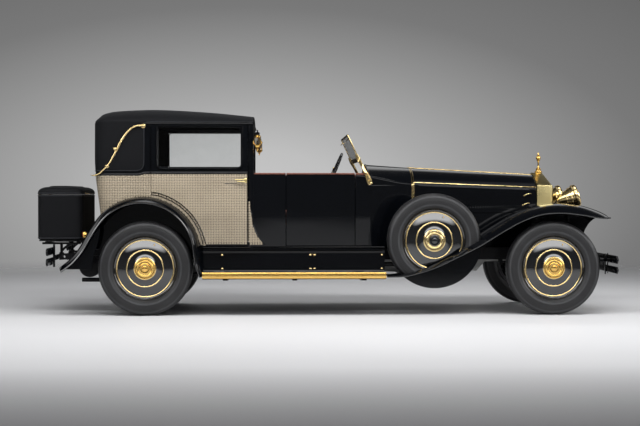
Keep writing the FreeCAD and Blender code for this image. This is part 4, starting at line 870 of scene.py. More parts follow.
cowl_share = np.concatenate([np.linspace(0, 1, 12), np.linspace(1, 2, 9)[1:], np.linspace(2, 3, 18)[1:]])[None, :]
cowl_x = np.linspace(COWL_REAR, COWL_FRONT, 36)
y, z = cowl_section(cowl_x, cowl_share)
half_grid = np.stack([np.broadcast_to(cowl_x[:, None], y.shape), y, z], -1)
cowl = Piece()
cowl.sheet(np.concatenate([half_grid, mirror(half_grid)[:, -2::-1]], axis=1), 0.012, (0, 0, 1))
bulkhead = half_grid[-1] - (0.008, 0.004, 0)
wall = np.stack([bulkhead * (1, k, 1) for k in np.linspace(1, -1, 15)], 1)
cowl.sheet(wall, 0.006, (1, 0, 0))
for x, mark, radius in ((COWL_FRONT - 0.004, 1, 0.0055), (COWL_REAR + 0.003, 0, 0.006)):
    y, z = cowl_section(np.array([x]), cowl_share)
    rim = np.stack([np.full(y.shape[1], x), y[0], z[0]], -1)
    cowl.wire(np.concatenate([rim, mirror(rim)[-2::-1]]), radius, 8, mark, (1, 0, 0))
for sign in (1, -1):
    side_x = np.linspace(COWL_REAR + 0.01, COWL_FRONT - 0.005, 24)
    y, z = cowl_section(side_x, np.array([[1.45]]))
    cowl.wire(np.stack([side_x, y[:, 0] * sign, z[:, 0]], -1), 0.0035, 6)
cowl.make("cowl_shell", "car_body", ["enamel", "brass"], "paint", "cowl", 38)

# %% The posts ahead of the front doors
CABIN_FRONT, BODY_HALF = 0.978, 0.7


def driver_half(x):
    """Half width of the driver's compartment, which narrows in a straight line towards the cowl."""
    return BODY_HALF - 0.07 * (x - CABIN_FRONT) / (COWL_REAR - CABIN_FRONT)


def tumble_home(z):
    """How far the body's side is drawn in at a height: nothing above 0.9 m, 28 mm at the sill."""
    return 0.028 * np.clip((0.9 - z) / 0.275, 0, 1)


POST_REAR, POST_FRONT = 1.9165, COWL_FRONT - 0.012
post_x, post_z = np.meshgrid(np.linspace(POST_REAR, 2.052, 14),
    np.concatenate([np.linspace(0.627, 0.9, 8), np.linspace(0.9, 1.205, 8)[1:]]), indexing="ij")
post_face = np.stack([post_x, driver_half(post_x) - tumble_home(post_z), post_z], -1)
for side, sign in SIDES:
    post = Piece()
    post.sheet(post_face * (1, sign, 1), 0.04, (0, sign, 0))
    # the shoulder that runs down from the door's top to the hood's hinge line
    along = np.linspace(POST_REAR, POST_FRONT, 70)[:, None]
    share = (along - POST_REAR) / (POST_FRONT - POST_REAR)
    half = np.where(along < COWL_REAR, driver_half(along), cowl_half(along))
    top = 1.285 - 0.0735 * share * share * (3 - 2 * share)
    turn = np.linspace(0, math.pi, 15)[None, :]
    ring_y = np.concatenate([half - 0.0055, half - 0.018 + 0.0195 * np.cos(turn), half - 0.0375], 1)
    ring_z = np.concatenate([top * 0 + 1.13, top - 0.018 + 0.018 * np.sin(turn), top * 0 + 1.13], 1)
    post.tube(np.stack([np.broadcast_to(along, ring_y.shape), ring_y * sign, ring_z], -1))
    post.make(f"cowl_post_{side}", "car_body", "enamel", "paint")
print("front end shells:", MADE[-6:])

# %% [markdown]
# ## The cabin's walls
# Every overlay on the cabin, whether leather, cane or moulding, lies on the same outer face. So one function
# gives that face: along the side it is a place x and a height z, and past the rear corner the extra length
# wraps round the corner and on across the back.

# %% The cabin's outer face
CORNER, REAR_FACE = 0.1, -0.467
# height, half width and rear face of the cabin at four levels
LEVELS = np.array([(0.625, 0.672, -0.41), (0.9, BODY_HALF, -0.415), (1.305, BODY_HALF, REAR_FACE),
    (1.75, 0.682, REAR_FACE)])


def cabin_wall(x, z, lift=0.0):
    """Half width and rear face are read off the four levels; x below the corner's start is a length
    round the corner (a quarter circle) and then across the back."""
    x, z, lift = np.broadcast_arrays(np.asarray(x, float), z, lift)
    half = np.interp(z, LEVELS[:, 0], LEVELS[:, 1])
    back = np.interp(z, LEVELS[:, 0], LEVELS[:, 2])
    past = np.maximum(back + CORNER - x, 0)
    turn = np.minimum(past / CORNER, math.pi / 2)
    across = np.maximum(past - CORNER * math.pi / 2, 0)
    reach = CORNER + lift
    side = x > CABIN_FRONT
    half = np.where(side, driver_half(x) + half - BODY_HALF, half)
    place = np.maximum(x, back + CORNER) - reach * np.sin(turn)
    return np.stack([place, half - CORNER + reach * np.cos(turn) - across, z], -1)


def wall_line(corners, count, lift=0.0, loop=False, soft=0.0):
    """A line on the cabin's face through (x, z) corners, evenly spaced, each corner rounded by soft."""
    corners = np.asarray(corners, float)
    if soft:
        before, after = np.roll(corners, 1, 0), np.roll(corners, -1, 0)
        pieces = []
        for k, spot in enumerate(corners):
            if not loop and k in (0, len(corners) - 1):
                pieces.append(spot[None])
                continue
            one = spot + unit(before[k] - spot) * soft
            two = spot + unit(after[k] - spot) * soft
            t = np.linspace(0, 1, 7)[:, None]
            pieces.append((1 - t) ** 2 * one + 2 * t * (1 - t) * spot + t ** 2 * two)
        corners = np.concatenate(pieces)
    if loop:
        corners = np.concatenate([corners, corners[:1]])
    run = np.concatenate([[0], np.cumsum(np.linalg.norm(np.diff(corners, axis=0), axis=1))])
    at = np.linspace(0, run[-1], count + (1 if loop else 0))[:count]
    return cabin_wall(np.interp(at, run, corners[:, 0]), np.interp(at, run, corners[:, 1]), lift)


def outward(line):
    """Horizontal direction away from the middle of the cabin at each point of a line on its face."""
    centre = np.stack([np.maximum(line[:, 0], REAR_FACE + CORNER), np.clip(line[:, 1], -0.6, 0.6), line[:, 2]], -1)
    return unit(line - centre)


def moulding(piece, line, width, height, mark=0, loop=False, sign=1):
    """Half-round strip on the wall: an oval section whose flat measure lies on the wall."""
    turn = np.linspace(0, 2 * math.pi, 10, endpoint=False)
    away = outward(line)
    ahead = unit(np.roll(line, -1, 0) - np.roll(line, 1, 0)) if loop else unit(np.gradient(line, axis=0))
    beside = unit(np.cross(away, ahead))
    flat, proud = (np.cos(turn) * width / 2)[:, None], (np.sin(turn) * height)[:, None]
    grid = line[:, None] + beside[:, None] * flat + away[:, None] * proud
    return piece.tube(grid * (1, sign, 1), mark, loop)


# %% [markdown]
# ## Cane-work
# The lower cabin wears woven cane: flat straw-coloured strands over and under each other on a dark ground.
# The strands are real strips here. Each one rises and falls by a cosine that is half a wave per crossing,
# and its partner across does the opposite, so that every crossing is right. Rows end where the panel ends.

# %% Woven strands
PITCH, STRAND, WAVE = 0.0236, 0.0216, 0.0011
BELT = 1.285


def weave(piece, left, right, low, high, sign, least=0.012):
    """Strands along and up a region between left(z) and right(z), and low(x) and high(x): a flat
    diamond section as wide as STRAND whose lift is base + wave x cos(pi x place / pitch + pi x row)."""
    section = np.array([(-0.5, 0), (-0.41, 0.001), (0.41, 0.001), (0.5, 0), (0.0, -0.0006)]) * (STRAND, 1)

    def strips(line, start, end, wall, parity):
        keep = end - start > least
        line, start, end = line[keep], start[keep], end[keep]
        if not len(line):
            return
        count = max(int((end - start).max() / PITCH * 3), 4)
        run = start[:, None] + (end - start)[:, None] * np.linspace(0, 1, count)
        index = np.round(line / PITCH - 0.5)[:, None]
        lift = 0.0032 + WAVE * np.cos(math.pi * (run / PITCH - 0.5) + math.pi * index + parity * math.pi)
        grid = wall(run[..., None], line[:, None, None] + section[:, 0], lift[..., None] + section[:, 1])
        # the strands' bevelled edges and undersides get the second finish, a painted shade
        marks = np.tile((1, 0, 1, 1, 1), count + 1)
        for strip in grid * (1, sign, 1):
            piece.tube(strip, marks)

    rows = (np.arange(np.ceil(0.6 / PITCH), np.ceil(1.32 / PITCH)) + 0.5) * PITCH
    columns = (np.arange(-46, 48) + 0.5) * PITCH
    x0, x1 = left(rows), right(rows)
    inside = (rows > SILL_LINE + STRAND / 2) & (rows < BELT - STRAND / 2)
    strips(rows[inside], x0[inside], x1[inside], cabin_wall, 0)
    strips(columns, low(columns), high(columns), lambda z, x, lift: cabin_wall(x, z, lift), 1)


ARCH_EDGE, DOOR_ARC = 0.53, 0.5665
SILL_LINE = 0.64
FRONT_EDGE = np.array([(0.63, 1.088), (0.64, 1.081), (0.678, 1.045), (0.725, 1.008), (0.82, 0.972), (0.962, 0.951),
    (1.12, 0.943), (1.285, 0.935), (1.32, 0.934)])


def arch_x(z, side, radius=ARCH_EDGE):
    """Where a circle round the fender's crown stands at a height, on its front (1) or rear (-1) side."""
    return ARCH[0] + side * np.sqrt(np.maximum(radius ** 2 - (z - ARCH[1]) ** 2, 0))


def arch_z(x, radius=ARCH_EDGE):
    """Top of a circle round the fender's crown at a place, or the sill line beyond it."""
    inside = radius ** 2 - (x - ARCH[0]) ** 2
    return np.where(inside > 0, ARCH[1] + np.sqrt(np.maximum(inside, 0)), SILL_LINE)


def cane_front(z):
    """The cane's front edge: from the door's top corner it sweeps forward to the foot of the panel."""
    return np.interp(z, FRONT_EDGE[:, 0], FRONT_EDGE[:, 1])


def cane_front_height(x):
    """The same edge the other way: highest place of the cane at x."""
    return np.interp(-x, -FRONT_EDGE[:, 1], FRONT_EDGE[:, 0])


def belt(x):
    """Top of the cane: an S-shaped step lifts it 16 mm ahead of the leather quarter."""
    step = np.clip((x + 0.075) / 0.07, 0, 1)
    return BELT - 0.016 * (1 - step * step * (3 - 2 * step))


def stands_at(value):
    """An edge that stands at one place."""
    return lambda place: np.full_like(place, value)


def between(start, end, edge):
    """A lower edge that holds from start to end and is out of reach elsewhere."""
    return lambda x: np.where((x > start) & (x < end), edge(x), OUT_OF_REACH)


def door_curve(z):
    """The door's curved lower edge, which runs round the fender."""
    return np.where(z > ARCH[1] + DOOR_ARC, -OUT_OF_REACH, arch_x(z, 1, DOOR_ARC))


def over_fender(x):
    """The quarter's lower edge: over the fender's crown, and along the sill behind it."""
    return np.maximum(np.where(x > -0.56, arch_z(x), 0.0), SILL_LINE)


BACK_MIDDLE = REAR_FACE + CORNER - CORNER * math.pi / 2 - 0.6
GAP, OUT_OF_REACH = 0.0052, 9
DOOR_REAR, DOOR_FRONT = 0.044, 0.93
CANE = ["cane", "cane_edge_shade"]
curve_foot = arch_x(SILL_LINE, 1, DOOR_ARC)
for side, sign in SIDES:
    quarter = Piece()
    crown = ARCH[1] + ARCH_EDGE
    weave(quarter, stands_at(BACK_MIDDLE), lambda z: np.where(z > crown, DOOR_REAR - GAP, arch_x(z, -1)),
        between(-OUT_OF_REACH, DOOR_REAR - GAP, over_fender), belt, sign)
    # the strip that stays on the body between the fender and the door's curved edge
    weave(quarter, lambda z: np.maximum(DOOR_REAR - GAP, arch_x(z, 1)), lambda z: door_curve(z) - GAP,
        between(DOOR_REAR - GAP, curve_foot - GAP, arch_z), lambda x: arch_z(x, DOOR_ARC) - GAP, sign, 0.01)
    swing = np.radians(np.linspace(9.9, 82.0, 60))[:, None]
    door_edge = Piece()
    for piece, inner, outer in ((quarter, 0.532, 0.557), (door_edge, 0.575, 0.602)):
        ring = np.linspace(inner, outer, 6)[None, :]
        face = cabin_wall(ARCH[0] + ring * np.cos(swing), ARCH[1] + ring * np.sin(swing), 0.0012)
        piece.sheet(face * (1, sign, 1), 0.001, (0, sign, 0))
    door_edge.make(f"cane_door_edge_{side}", f"rear_door_{side}_body", "cane", "cane")
    quarter.make(f"cane_quarter_{side}", "car_body", CANE, "cane")
    door = Piece()
    weave(door, lambda z: np.maximum(DOOR_REAR + GAP, door_curve(z) + GAP), stands_at(DOOR_FRONT - GAP),
        between(DOOR_REAR + GAP, DOOR_FRONT - GAP, lambda x: arch_z(x, DOOR_ARC) + GAP), belt, sign)
    door.make(f"cane_door_{side}", f"rear_door_{side}_body", CANE, "cane")
    pillar = Piece()
    weave(pillar, stands_at(DOOR_FRONT + GAP), cane_front, between(DOOR_FRONT + GAP, OUT_OF_REACH,
        stands_at(SILL_LINE)), cane_front_height, sign)
    pillar.make(f"cane_pillar_{side}", "car_body", CANE, "cane")
print("cane pieces:", [n for n in MADE if n.startswith("cane")])

# %% [markdown]
# ## Leather quarters and the roof
# Above the belt the rear quarters, back and roof are covered in dressed hide, padded a little, with a piped
# edge. The roof is a crowned sheet: an arc across whose rise follows the crown line along the car.

# %% Padded hide and its piping
PUFF, LEATHER_LOW, LEATHER_TOP = 0.0065, 1.316, 1.7515
LIGHT_HALF, LIGHT_LOW, LIGHT_TOP = 0.2315, 1.4615, 1.6585


def leather_panel(piece, x, z, corner, sign):
    """A padded sheet on the wall whose lower front corner is round: the lift falls off by a^6 towards the
    front edge and by b^4 towards the lower edge, and holds at the top, where the roof takes over."""
    a = np.sin(np.linspace(-1, 1, 46) * math.pi / 2)
    b = np.sin(np.linspace(-1, 1, 26) * math.pi / 2)
    level = z[0] + (z[1] - z[0]) * (b + 1) / 2
    into_corner = np.clip((z[0] + corner - level) / corner, 0, 1)
    front = x[1] - corner * (1 - np.sqrt(1 - into_corner ** 2))
    place = x[0] + (front - x[0]) * (a[:, None] + 1) / 2
    height = np.broadcast_to(level, place.shape)
    lift = 0.0015 + PUFF * (1 - np.maximum(a[:, None], 0) ** 6) * (1 - np.minimum(b, 0) ** 4)
    return piece.sheet(cabin_wall(place, height, lift) * (1, sign, 1), 0.0012, (-0.1, sign, 0))


for side, sign in SIDES:
    panel = Piece()
    leather_panel(panel, (BACK_MIDDLE + 0.3, -0.018), (LEATHER_LOW, LEATHER_TOP), 0.09, sign)
    corners = [(BACK_MIDDLE + 0.3, LEATHER_LOW), (-0.018, LEATHER_LOW), (-0.018, LEATHER_TOP + 0.0005)]
    edge = wall_line(corners, 90, 0.003, soft=0.078)
    moulding(panel, edge, 0.008, 0.0055, 1, sign=sign)
    panel.make(f"leather_quarter_{side}", "car_body", ["top_leather", "piping"], "roof_leather", crease=50)

back = Piece()
BACK_HALF = 0.302
across = np.linspace(-BACK_HALF, BACK_HALF, 24)[:, None]
for low, high in ((LEATHER_LOW, LIGHT_LOW), (LIGHT_TOP, LEATHER_TOP)):
    up = np.linspace(low, high, 12)[None, :]
    from_light = np.minimum(np.abs(up - LIGHT_LOW), np.abs(up - LIGHT_TOP))
    lift = 0.0015 + PUFF * np.clip((up - LEATHER_LOW) / 0.02, 0, 1) * np.clip(from_light / 0.02, 0, 1)
    back.sheet(np.stack(np.broadcast_arrays(REAR_FACE - lift, across, up), -1), 0.0012, (-1, 0, 0))
for y0, y1 in ((LIGHT_HALF, BACK_HALF), (-BACK_HALF, -LIGHT_HALF)):
    up, over = np.linspace(LIGHT_LOW, LIGHT_TOP, 12)[None, :], np.linspace(y0, y1, 8)[:, None]
    lift = 0.0015 + PUFF * np.clip((np.abs(over) - LIGHT_HALF) / 0.02, 0, 1)
    back.sheet(np.stack(np.broadcast_arrays(REAR_FACE - lift, over, up), -1), 0.0012, (-1, 0, 0))
frame_path = rounded(0.476, 0.196, 0.03, 6)
frame_path = np.stack([np.full(len(frame_path), -0.4695), frame_path[:, 0], 1.56 + frame_path[:, 1]], -1)
back.tube(sweep(frame_path, rounded(0.018, 0.01, 0.004, 3), (1, 0, 0), True), 1, ring=True)
back.make("back_light_surround", "car_body", ["top_leather", "moulding"], "roof_leather", crease=50)

# %% The roof
ROOF_LOW, EAVE = 1.7505, 1.766
crown_line = smooth_line([(-0.47, 1.768), (-0.464, 1.8), (-0.449, 1.828), (-0.428, 1.85), (-0.395, 1.869),
    (-0.339, 1.885), (-0.217, 1.8955), (-0.1, 1.901), (0.03, 1.9045), (0.205, 1.9), (0.42, 1.888), (0.637, 1.872),
    (0.82, 1.853), (0.942, 1.839), (0.978, 1.833)], 110)


def roof_half(x):
    """Half width of the roof in plan: straight, with a quarter-round rear corner, and 7.5 mm fuller where it
    runs down into the leather quarters."""
    ease = np.clip(-x / 0.06, 0, 1)
    return (0.682 - CORNER + np.sqrt(np.clip(CORNER ** 2 - np.clip(-0.37 - x, 0, CORNER * 0.9999) ** 2, 0, None))
        + 0.0075 * ease * ease * (3 - 2 * ease))


across = np.sin(np.linspace(-1, 1, 61) * math.pi / 2)[None, :]
roof_x = crown_line[:, :1]
roof_z = EAVE + (crown_line[:, 1:] - EAVE) * (1 - np.abs(across) ** 2.3) ** 0.62
roof_grid = np.stack([np.broadcast_to(roof_x, roof_z.shape), roof_half(roof_x) * across, roof_z], -1)


def with_skirt(grid):
    """The grid with its first and last rows repeated at the eaves."""
    foot = grid[[0, -1]] * (1, 1, 0) + (0, 0, ROOF_LOW)
    return np.concatenate([foot[:1], grid, foot[1:]])


roof_grid = with_skirt(with_skirt(roof_grid.transpose(1, 0, 2)).transpose(1, 0, 2))
roof = Piece()
inner = roof_grid * (1, 0.965, 1) - (0, 0, 0.02)
inner[..., 2] = np.maximum(inner[..., 2], ROOF_LOW)
inner[..., 0] = np.clip(inner[..., 0], -0.447, 0.958)
rows = np.arange(roof_grid.shape[0] * roof_grid.shape[1]).reshape(roof_grid.shape[:2])
rim = [quads(np.stack([rows[0] + rows.size, rows[0]])), quads(np.stack([rows[-1], rows[-1] + rows.size])),
    quads(np.stack([rows[:, 0], rows[:, 0] + rows.size])), quads(np.stack([rows[:, -1] + rows.size, rows[:, -1]]))]
roof.closed(np.concatenate([roof_grid.reshape(-1, 3), inner.reshape(-1, 3)]),
    np.concatenate([quads(rows), quads(rows + rows.size)[:, ::-1]] + rim), 0)
for s in (-0.62, 0.62):
    seam = np.stack([roof_x[9:-1, 0], roof_half(roof_x[9:-1, 0]) * s,
        EAVE + (crown_line[9:-1, 1] - EAVE) * (1 - abs(s) ** 2.3) ** 0.62], -1)
    roof.wire(seam, 0.0035, 6, 1)
roof.make("leather_roof", "car_body", ["top_leather", "piping"], "roof_leather", "cabin_roof", 50)

gutter = Piece()
for side, sign in SIDES:
    moulding(gutter, wall_line([(0.974, 1.7485), (-0.022, 1.7485)], 80), 0.018, 0.01, sign=sign)
    moulding(gutter, wall_line([(0.974, 1.7625), (0.0, 1.7625)], 80), 0.006, 0.005, 1, sign=sign)
front_line = np.stack([np.full(30, 0.979), np.linspace(-0.684, 0.684, 30), np.full(30, 1.75)], -1)
gutter.wire(front_line, 0.009, 8, 0, (1, 0, 0))
gutter.make("roof_gutter", "car_body", ["moulding", "piping"], "paint", crease=50)

# %% [markdown]
# ## Mouldings, window frames, handles and hinges
# Half-round mouldings cover the joints between cane, paint and leather. Each crosses a door, so it is cut
# at the door's edges, and the middle length rides on the door.

# %% Belt and sill mouldings
for side, sign in SIDES:
    fixed, moving = Piece(), Piece()
    for start, z, width, height in ((DOOR_REAR + 0.0055, 1.297, 0.024, 0.009), (0.545, 0.634, 0.01, 0.006)):
        moulding(moving, wall_line([(start, z), (DOOR_FRONT - 0.0055, z)], 60), width, height, sign=sign)
    step_x = np.concatenate([[BACK_MIDDLE, -0.6], np.linspace(-0.1, 0.0385, 30)])
    moulding(fixed, wall_line(np.stack([step_x, belt(step_x) + 0.012], -1), 150), 0.024, 0.009, sign=sign)
    for x, low in ((0.0375, 1.31), (0.9375, 1.29)):
        moulding(fixed, wall_line([(x, low), (x, 1.742)], 40), 0.006, 0.004, sign=sign)
    edge_z = np.linspace(BELT, SILL_LINE, 40)
    moulding(fixed, wall_line(np.stack([cane_front(edge_z) + 0.004, edge_z], -1), 80), 0.011, 0.006, sign=sign)
    # bead where the cane meets the fender's black rim, and a finer one along the door's curved edge
    swing = np.radians(np.linspace(9.8, 151, 60))
    around = np.stack([ARCH[0] + 0.524 * np.cos(swing), ARCH[1] + 0.524 * np.sin(swing)], -1)
    moulding(fixed, cabin_wall(around[:, 0], around[:, 1], 0.001), 0.01, 0.006, sign=sign)
    swing = np.radians(np.linspace(9.9, 82.0, 50))
    for piece, radius in ((moving, 0.578), (fixed, 0.5555)):
        curve = np.stack([ARCH[0] + radius * np.cos(swing), ARCH[1] + radius * np.sin(swing)], -1)
        moulding(piece, cabin_wall(curve[:, 0], curve[:, 1], 0.001), 0.012, 0.006, sign=sign)
    moulding(moving, wall_line([(0.9215, 0.645), (0.9215, 1.284)], 40), 0.007, 0.006, sign=sign)
    # a rebate behind the door's rear edge, so that no light comes through the joint
    column, row = np.meshgrid([0.016, 0.042, 0.045, 0.066], np.linspace(1.302, 1.744, 12), indexing="ij")
    fixed.sheet(cabin_wall(column, row, np.where(column < 0.043, -0.042, -0.0475)) * (1, sign, 1),
        0.006, (0, sign, 0))
    window = wall_line([(0.098, 1.724), (0.098, 1.335), (0.877, 1.335), (0.877, 1.724)], 150, 0.0, soft=0.055)
    moulding(moving, window, 0.018, 0.012, sign=sign)
    moulding(moving, wall_line([(0.094, 1.724), (0.881, 1.724)], 40), 0.014, 0.01, sign=sign)
    inner = wall_line([(0.108, 1.347), (0.867, 1.347), (0.867, 1.717), (0.108, 1.717)], 150, -0.006, True, 0.03)
    moulding(moving, inner, 0.01, 0.008, 0, True, sign)
    for z, start in ((1.236, 0.812), (1.218, 0.832)):
        bar = smooth_line([(0.908, 0.706, z), (0.905, 0.722, z), (0.893, 0.73, z), (0.86, 0.731, z),
            (start + 0.012, 0.73, z), (start, 0.726, z)], 26)
        moving.tube(sweep(bar * (1, sign, 1), np.stack([circle(0.0062 * k, 10, 0.8)
            for k in np.linspace(1.1, 0.8, 26)]), (0, 0, 1)), 2)
    plate = soft_box((0.896, 0.6995, 1.204), (0.92, 0.7065, 1.25), 0.003)
    moving.tube(plate * (1, sign, 1), 2)
    # painted shade: a dark steel oval bar stands where the door shows a dark slot, in place of the slot's shade
    slot = wall_line([(0.716, 1.2), (0.822, 1.2035)], 20, 0.002)
    moving.wire(slot * (1, sign, 1), 0.0058, 8, 1, tall=0.7)
    moving.make(f"door_mouldings_{side}", f"rear_door_{side}_body", ["moulding", "steel", "radiator"], "paint")
    fixed.make(f"cabin_mouldings_{side}", "car_body", "moulding", "paint")
print("mouldings done")

# %% [markdown]
# ## Radiator
# The shell is one section carried round the outline: back edge, bevelled front, and a return into the
# opening. Above the shoulders its front leans back like a roof. Upright shutter blades fill the opening.

# %% Radiator shell, shutters and cap
def round_corners(corners, radius, steps=6):
    """Each corner c of a loop becomes the parabola (1-t)^2 a + 2t(1-t) c + t^2 b between its neighbours' sides."""
    c = np.asarray(corners, float)[:, None]
    a, b = c + unit(np.roll(c, 1, 0) - c) * radius, c + unit(np.roll(c, -1, 0) - c) * radius
    t = np.linspace(0, 1, steps)[None, :, None]
    return ((1 - t) ** 2 * a + 2 * t * (1 - t) * c + t ** 2 * b).reshape(-1, c.shape[-1])


SHELL_BACK, SHELL_FRONT, SHELL_SHOULDER, SHELL_PEAK = 3.6555, 3.8085, 1.188, 1.3115
outer = round_corners([(-0.31, 0.562), (0.31, 0.562), (0.31, SHELL_SHOULDER), (0.038, SHELL_PEAK),
    (-0.038, SHELL_PEAK), (-0.31, SHELL_SHOULDER)], 0.008)
opening = round_corners([(-0.243, 0.646), (0.243, 0.646), (0.243, 1.112), (0.04, 1.186), (-0.04, 1.186),
    (-0.243, 1.112)], 0.008)
# share of the way in, place along, and how far the point follows the lean of the upper front
shell_section = np.array([(0.0, SHELL_BACK, 0), (0.0, SHELL_FRONT - 0.016, 1), (0.03, SHELL_FRONT - 0.01, 1),
    (0.16, SHELL_FRONT - 0.002, 1), (0.24, SHELL_FRONT, 1), (0.8, SHELL_FRONT, 1), (0.92, SHELL_FRONT - 0.003, 1),
    (0.985, SHELL_FRONT - 0.01, 1), (1.0, SHELL_FRONT - 0.02, 1), (1.0, SHELL_BACK + 0.09, 0),
    (0.2, SHELL_BACK + 0.086, 0), (0.12, SHELL_BACK, 0)])
share = shell_section[None, :, :1]
flat = outer[:, None] * (1 - share) + opening[:, None] * share
lean = 0.046 * np.clip((flat[..., 1] - SHELL_SHOULDER + 0.01) / (SHELL_PEAK - SHELL_SHOULDER), 0, 1)
shell_x = shell_section[None, :, 1] - lean * shell_section[None, :, 2]
shell = Piece().tube(np.stack([np.broadcast_to(shell_x, flat.shape[:2]), flat[..., 0], flat[..., 1]], -1),
    ring=True)
for z in (0.592, 1.186):
    band = [(SHELL_BACK + 0.004, 0.3105, z), (SHELL_FRONT - 0.018, 0.3105, z)]
    for _, sign in SIDES:
        shell.rod(band[0] * np.array((1, sign, 1)), band[1] * np.array((1, sign, 1)), 0.0022, 8)
shell.make("radiator_surround", "car_body", "radiator", "brass", "radiator_shell", 28)

blades = Piece()
blades.box((3.677, -0.2445, 0.6455), (3.747, 0.2445, 1.108), 0.004, 1)
blade_section = np.array([(-0.015, 0.0), (-0.008, 0.0026), (0.006, 0.0036), (0.0135, 0.0012), (0.0135, -0.0002),
    (0.004, 0.0014), (-0.008, 0.0008)])
for y in np.linspace(-0.224, 0.224, 17):
    high = min(1.108, 1.18 - 0.36 * max(abs(y) - 0.04, 0)) - 0.006
    turned_back = blade_section @ np.array([(math.cos(0.5), math.sin(0.5)), (-math.sin(0.5), math.cos(0.5))])
    line = np.array([(0, 0, 0.65), (0, 0, high)])[:, None] + np.stack([turned_back[:, 1], turned_back[:, 0],
        0 * turned_back[:, 0]], -1)[None]
    blades.tube(line + (3.768, y, 0))
for z in (0.7, 0.9, 1.08):
    blades.rod((3.75, -0.24, z), (3.75, 0.24, z), 0.0035, 8, 1)
blades.make("radiator_blades", "car_body", ["old_brass", "steel"], "brass", "radiator_shutters", 30)

cap_line = smooth_line([(0.0, 0.0008), (0.03, 0.001), (0.034, 0.004), (0.034, 0.012), (0.0315, 0.016),
    (0.024, 0.018), (0.0235, 0.03), (0.026, 0.034), (0.022, 0.04), (0.013, 0.046), (0.008, 0.058), (0.0068, 0.085),
    (0.01, 0.108), (0.017, 0.122), (0.0215, 0.136), (0.0205, 0.15), (0.014, 0.164), (0.008, 0.176),
    (0.004, 0.19), (0.0, 0.1985)], 96)
cap_line[:, 0] = np.maximum(cap_line[:, 0], 0)
cap = Piece().tube(turned(cap_line, (3.722, 0, 1.3115), (0, 0, 1), 40))
for k in range(24):
    angle = 2 * math.pi * k / 24
    spot = np.array((3.722 + 0.0338 * math.cos(angle), 0.0338 * math.sin(angle), 1.3165))
    cap.rod(spot, spot + (0, 0, 0.007), 0.0014, 6)
cap.make("radiator_finial", "car_body", "gold", "brass", "radiator_cap", 40)
print("radiator:", MADE[-3:])

# %% [markdown]
# ## Lamps
# Each headlamp is a drawn bell with a rolled rim, a bright reflector, a bulb and a domed lens, all turned
# about an axis that points a little up. The candle lamps on the cabin's front pillars are turned too.

# %% Headlamps
AIM = np.array((math.cos(math.radians(18)), 0.0, math.sin(math.radians(18))))
BELL = smooth_line([(0.0, 0.0), (0.009, 0.0006), (0.019, 0.006), (0.036, 0.024), (0.055, 0.05), (0.072, 0.08),
    (0.086, 0.115), (0.0955, 0.148)], 40)
RIM = np.array([(0.0975, 0.156), (0.101, 0.159), (0.1065, 0.164), (0.108, 0.172), (0.108, 0.185), (0.1065, 0.193),
    (0.101, 0.199), (0.0975, 0.199), (0.095, 0.195)])
BOWL = smooth_line([(0.093, 0.185), (0.088, 0.15), (0.074, 0.108), (0.052, 0.076), (0.028, 0.06), (0.0, 0.056)], 30)
lamps = Piece()
lenses = Piece()
for _, sign in SIDES:
    start = np.array((3.836, sign * 0.364, 1.033))
    profile = np.concatenate([BELL, RIM, BOWL])
    profile[:, 0] = np.maximum(profile[:, 0], 0)
    marks = np.repeat(np.where(np.arange(len(profile) - 1) >= len(BELL) + len(RIM) - 1, 1, 0), 72)
    lamps.surface(turned(profile, start, AIM, 72), marks)
    for place, radius in ((0.082, 0.074), (0.128, 0.0912)):
        lamps.tube(turned(circle(0.003, 8) + (radius, place), start, AIM, 64).transpose(1, 0, 2), ring=True)
    bulb = start + AIM * 0.058
    lamps.lathe([(10, 0), (10, 20), (8, 24)], bulb, AIM, 16)
    lenses.lathe([(0, 22), (6, 23), (12, 32), (13.5, 43), (10, 54), (4, 59), (0, 59.5)], bulb, AIM, 16)
    dome = [(0.0, 0.2125), (0.035, 0.211), (0.065, 0.2065), (0.085, 0.2005), (0.095, 0.1965), (0.095, 0.1935),
        (0.084, 0.1975), (0.065, 0.2035), (0.035, 0.208), (0.0, 0.2095)]
    lenses.tube(turned(dome, start, AIM, 64))
    for k in range(3):
        angle = 2 * math.pi * k / 3 + 0.5
        away = np.array((0, math.cos(angle), 0)) + np.cross(AIM, (0, 1, 0)) * math.sin(angle)
        clip = start + AIM * 0.176 + away * 0.1065
        lamps.rod(clip - AIM * 0.012, clip + AIM * 0.014, 0.004, 8)
    fork = start + AIM * 0.11
    lamps.lathe([(30, -4), (32, 0), (24, 6), (16, 20), (13.5, 50), (13, 140)],
        fork - (0, 0, 0.082), (0, 0, -1), 24, 2)
    lamps.lathe([(26, 0), (26, 4), (18, 14), (12, 22)], (fork[0], fork[1], 0.9585), (0, 0, 1), 24)
    trunnion = smooth_line([fork + (-0.012, 0, -0.086), fork + (-0.006, 0.02, -0.078), fork + (0, 0.048, -0.07),
        fork + (0, 0.066, -0.064)], 12)
    for turn in (1, -1):
        lamps.wire((trunnion - fork) * (1, turn, 1) + fork, 0.0065, 8, 2, (1, 0, 0))
tie = smooth_line([(3.936, -0.364, 0.9745), (3.95, -0.22, 0.99), (3.955, 0, 0.994), (3.95, 0.22, 0.99),
    (3.936, 0.364, 0.9745)], 40)
lamps.wire(tie, 0.0085, 10, 2)
lamps.make("headlamp_pair", "car_body", ["brass", "nickel", "moulding"], "brass", "headlamps", 32)
lenses.make("headlamp_lenses", "car_body", "lens", "glass", crease=40)

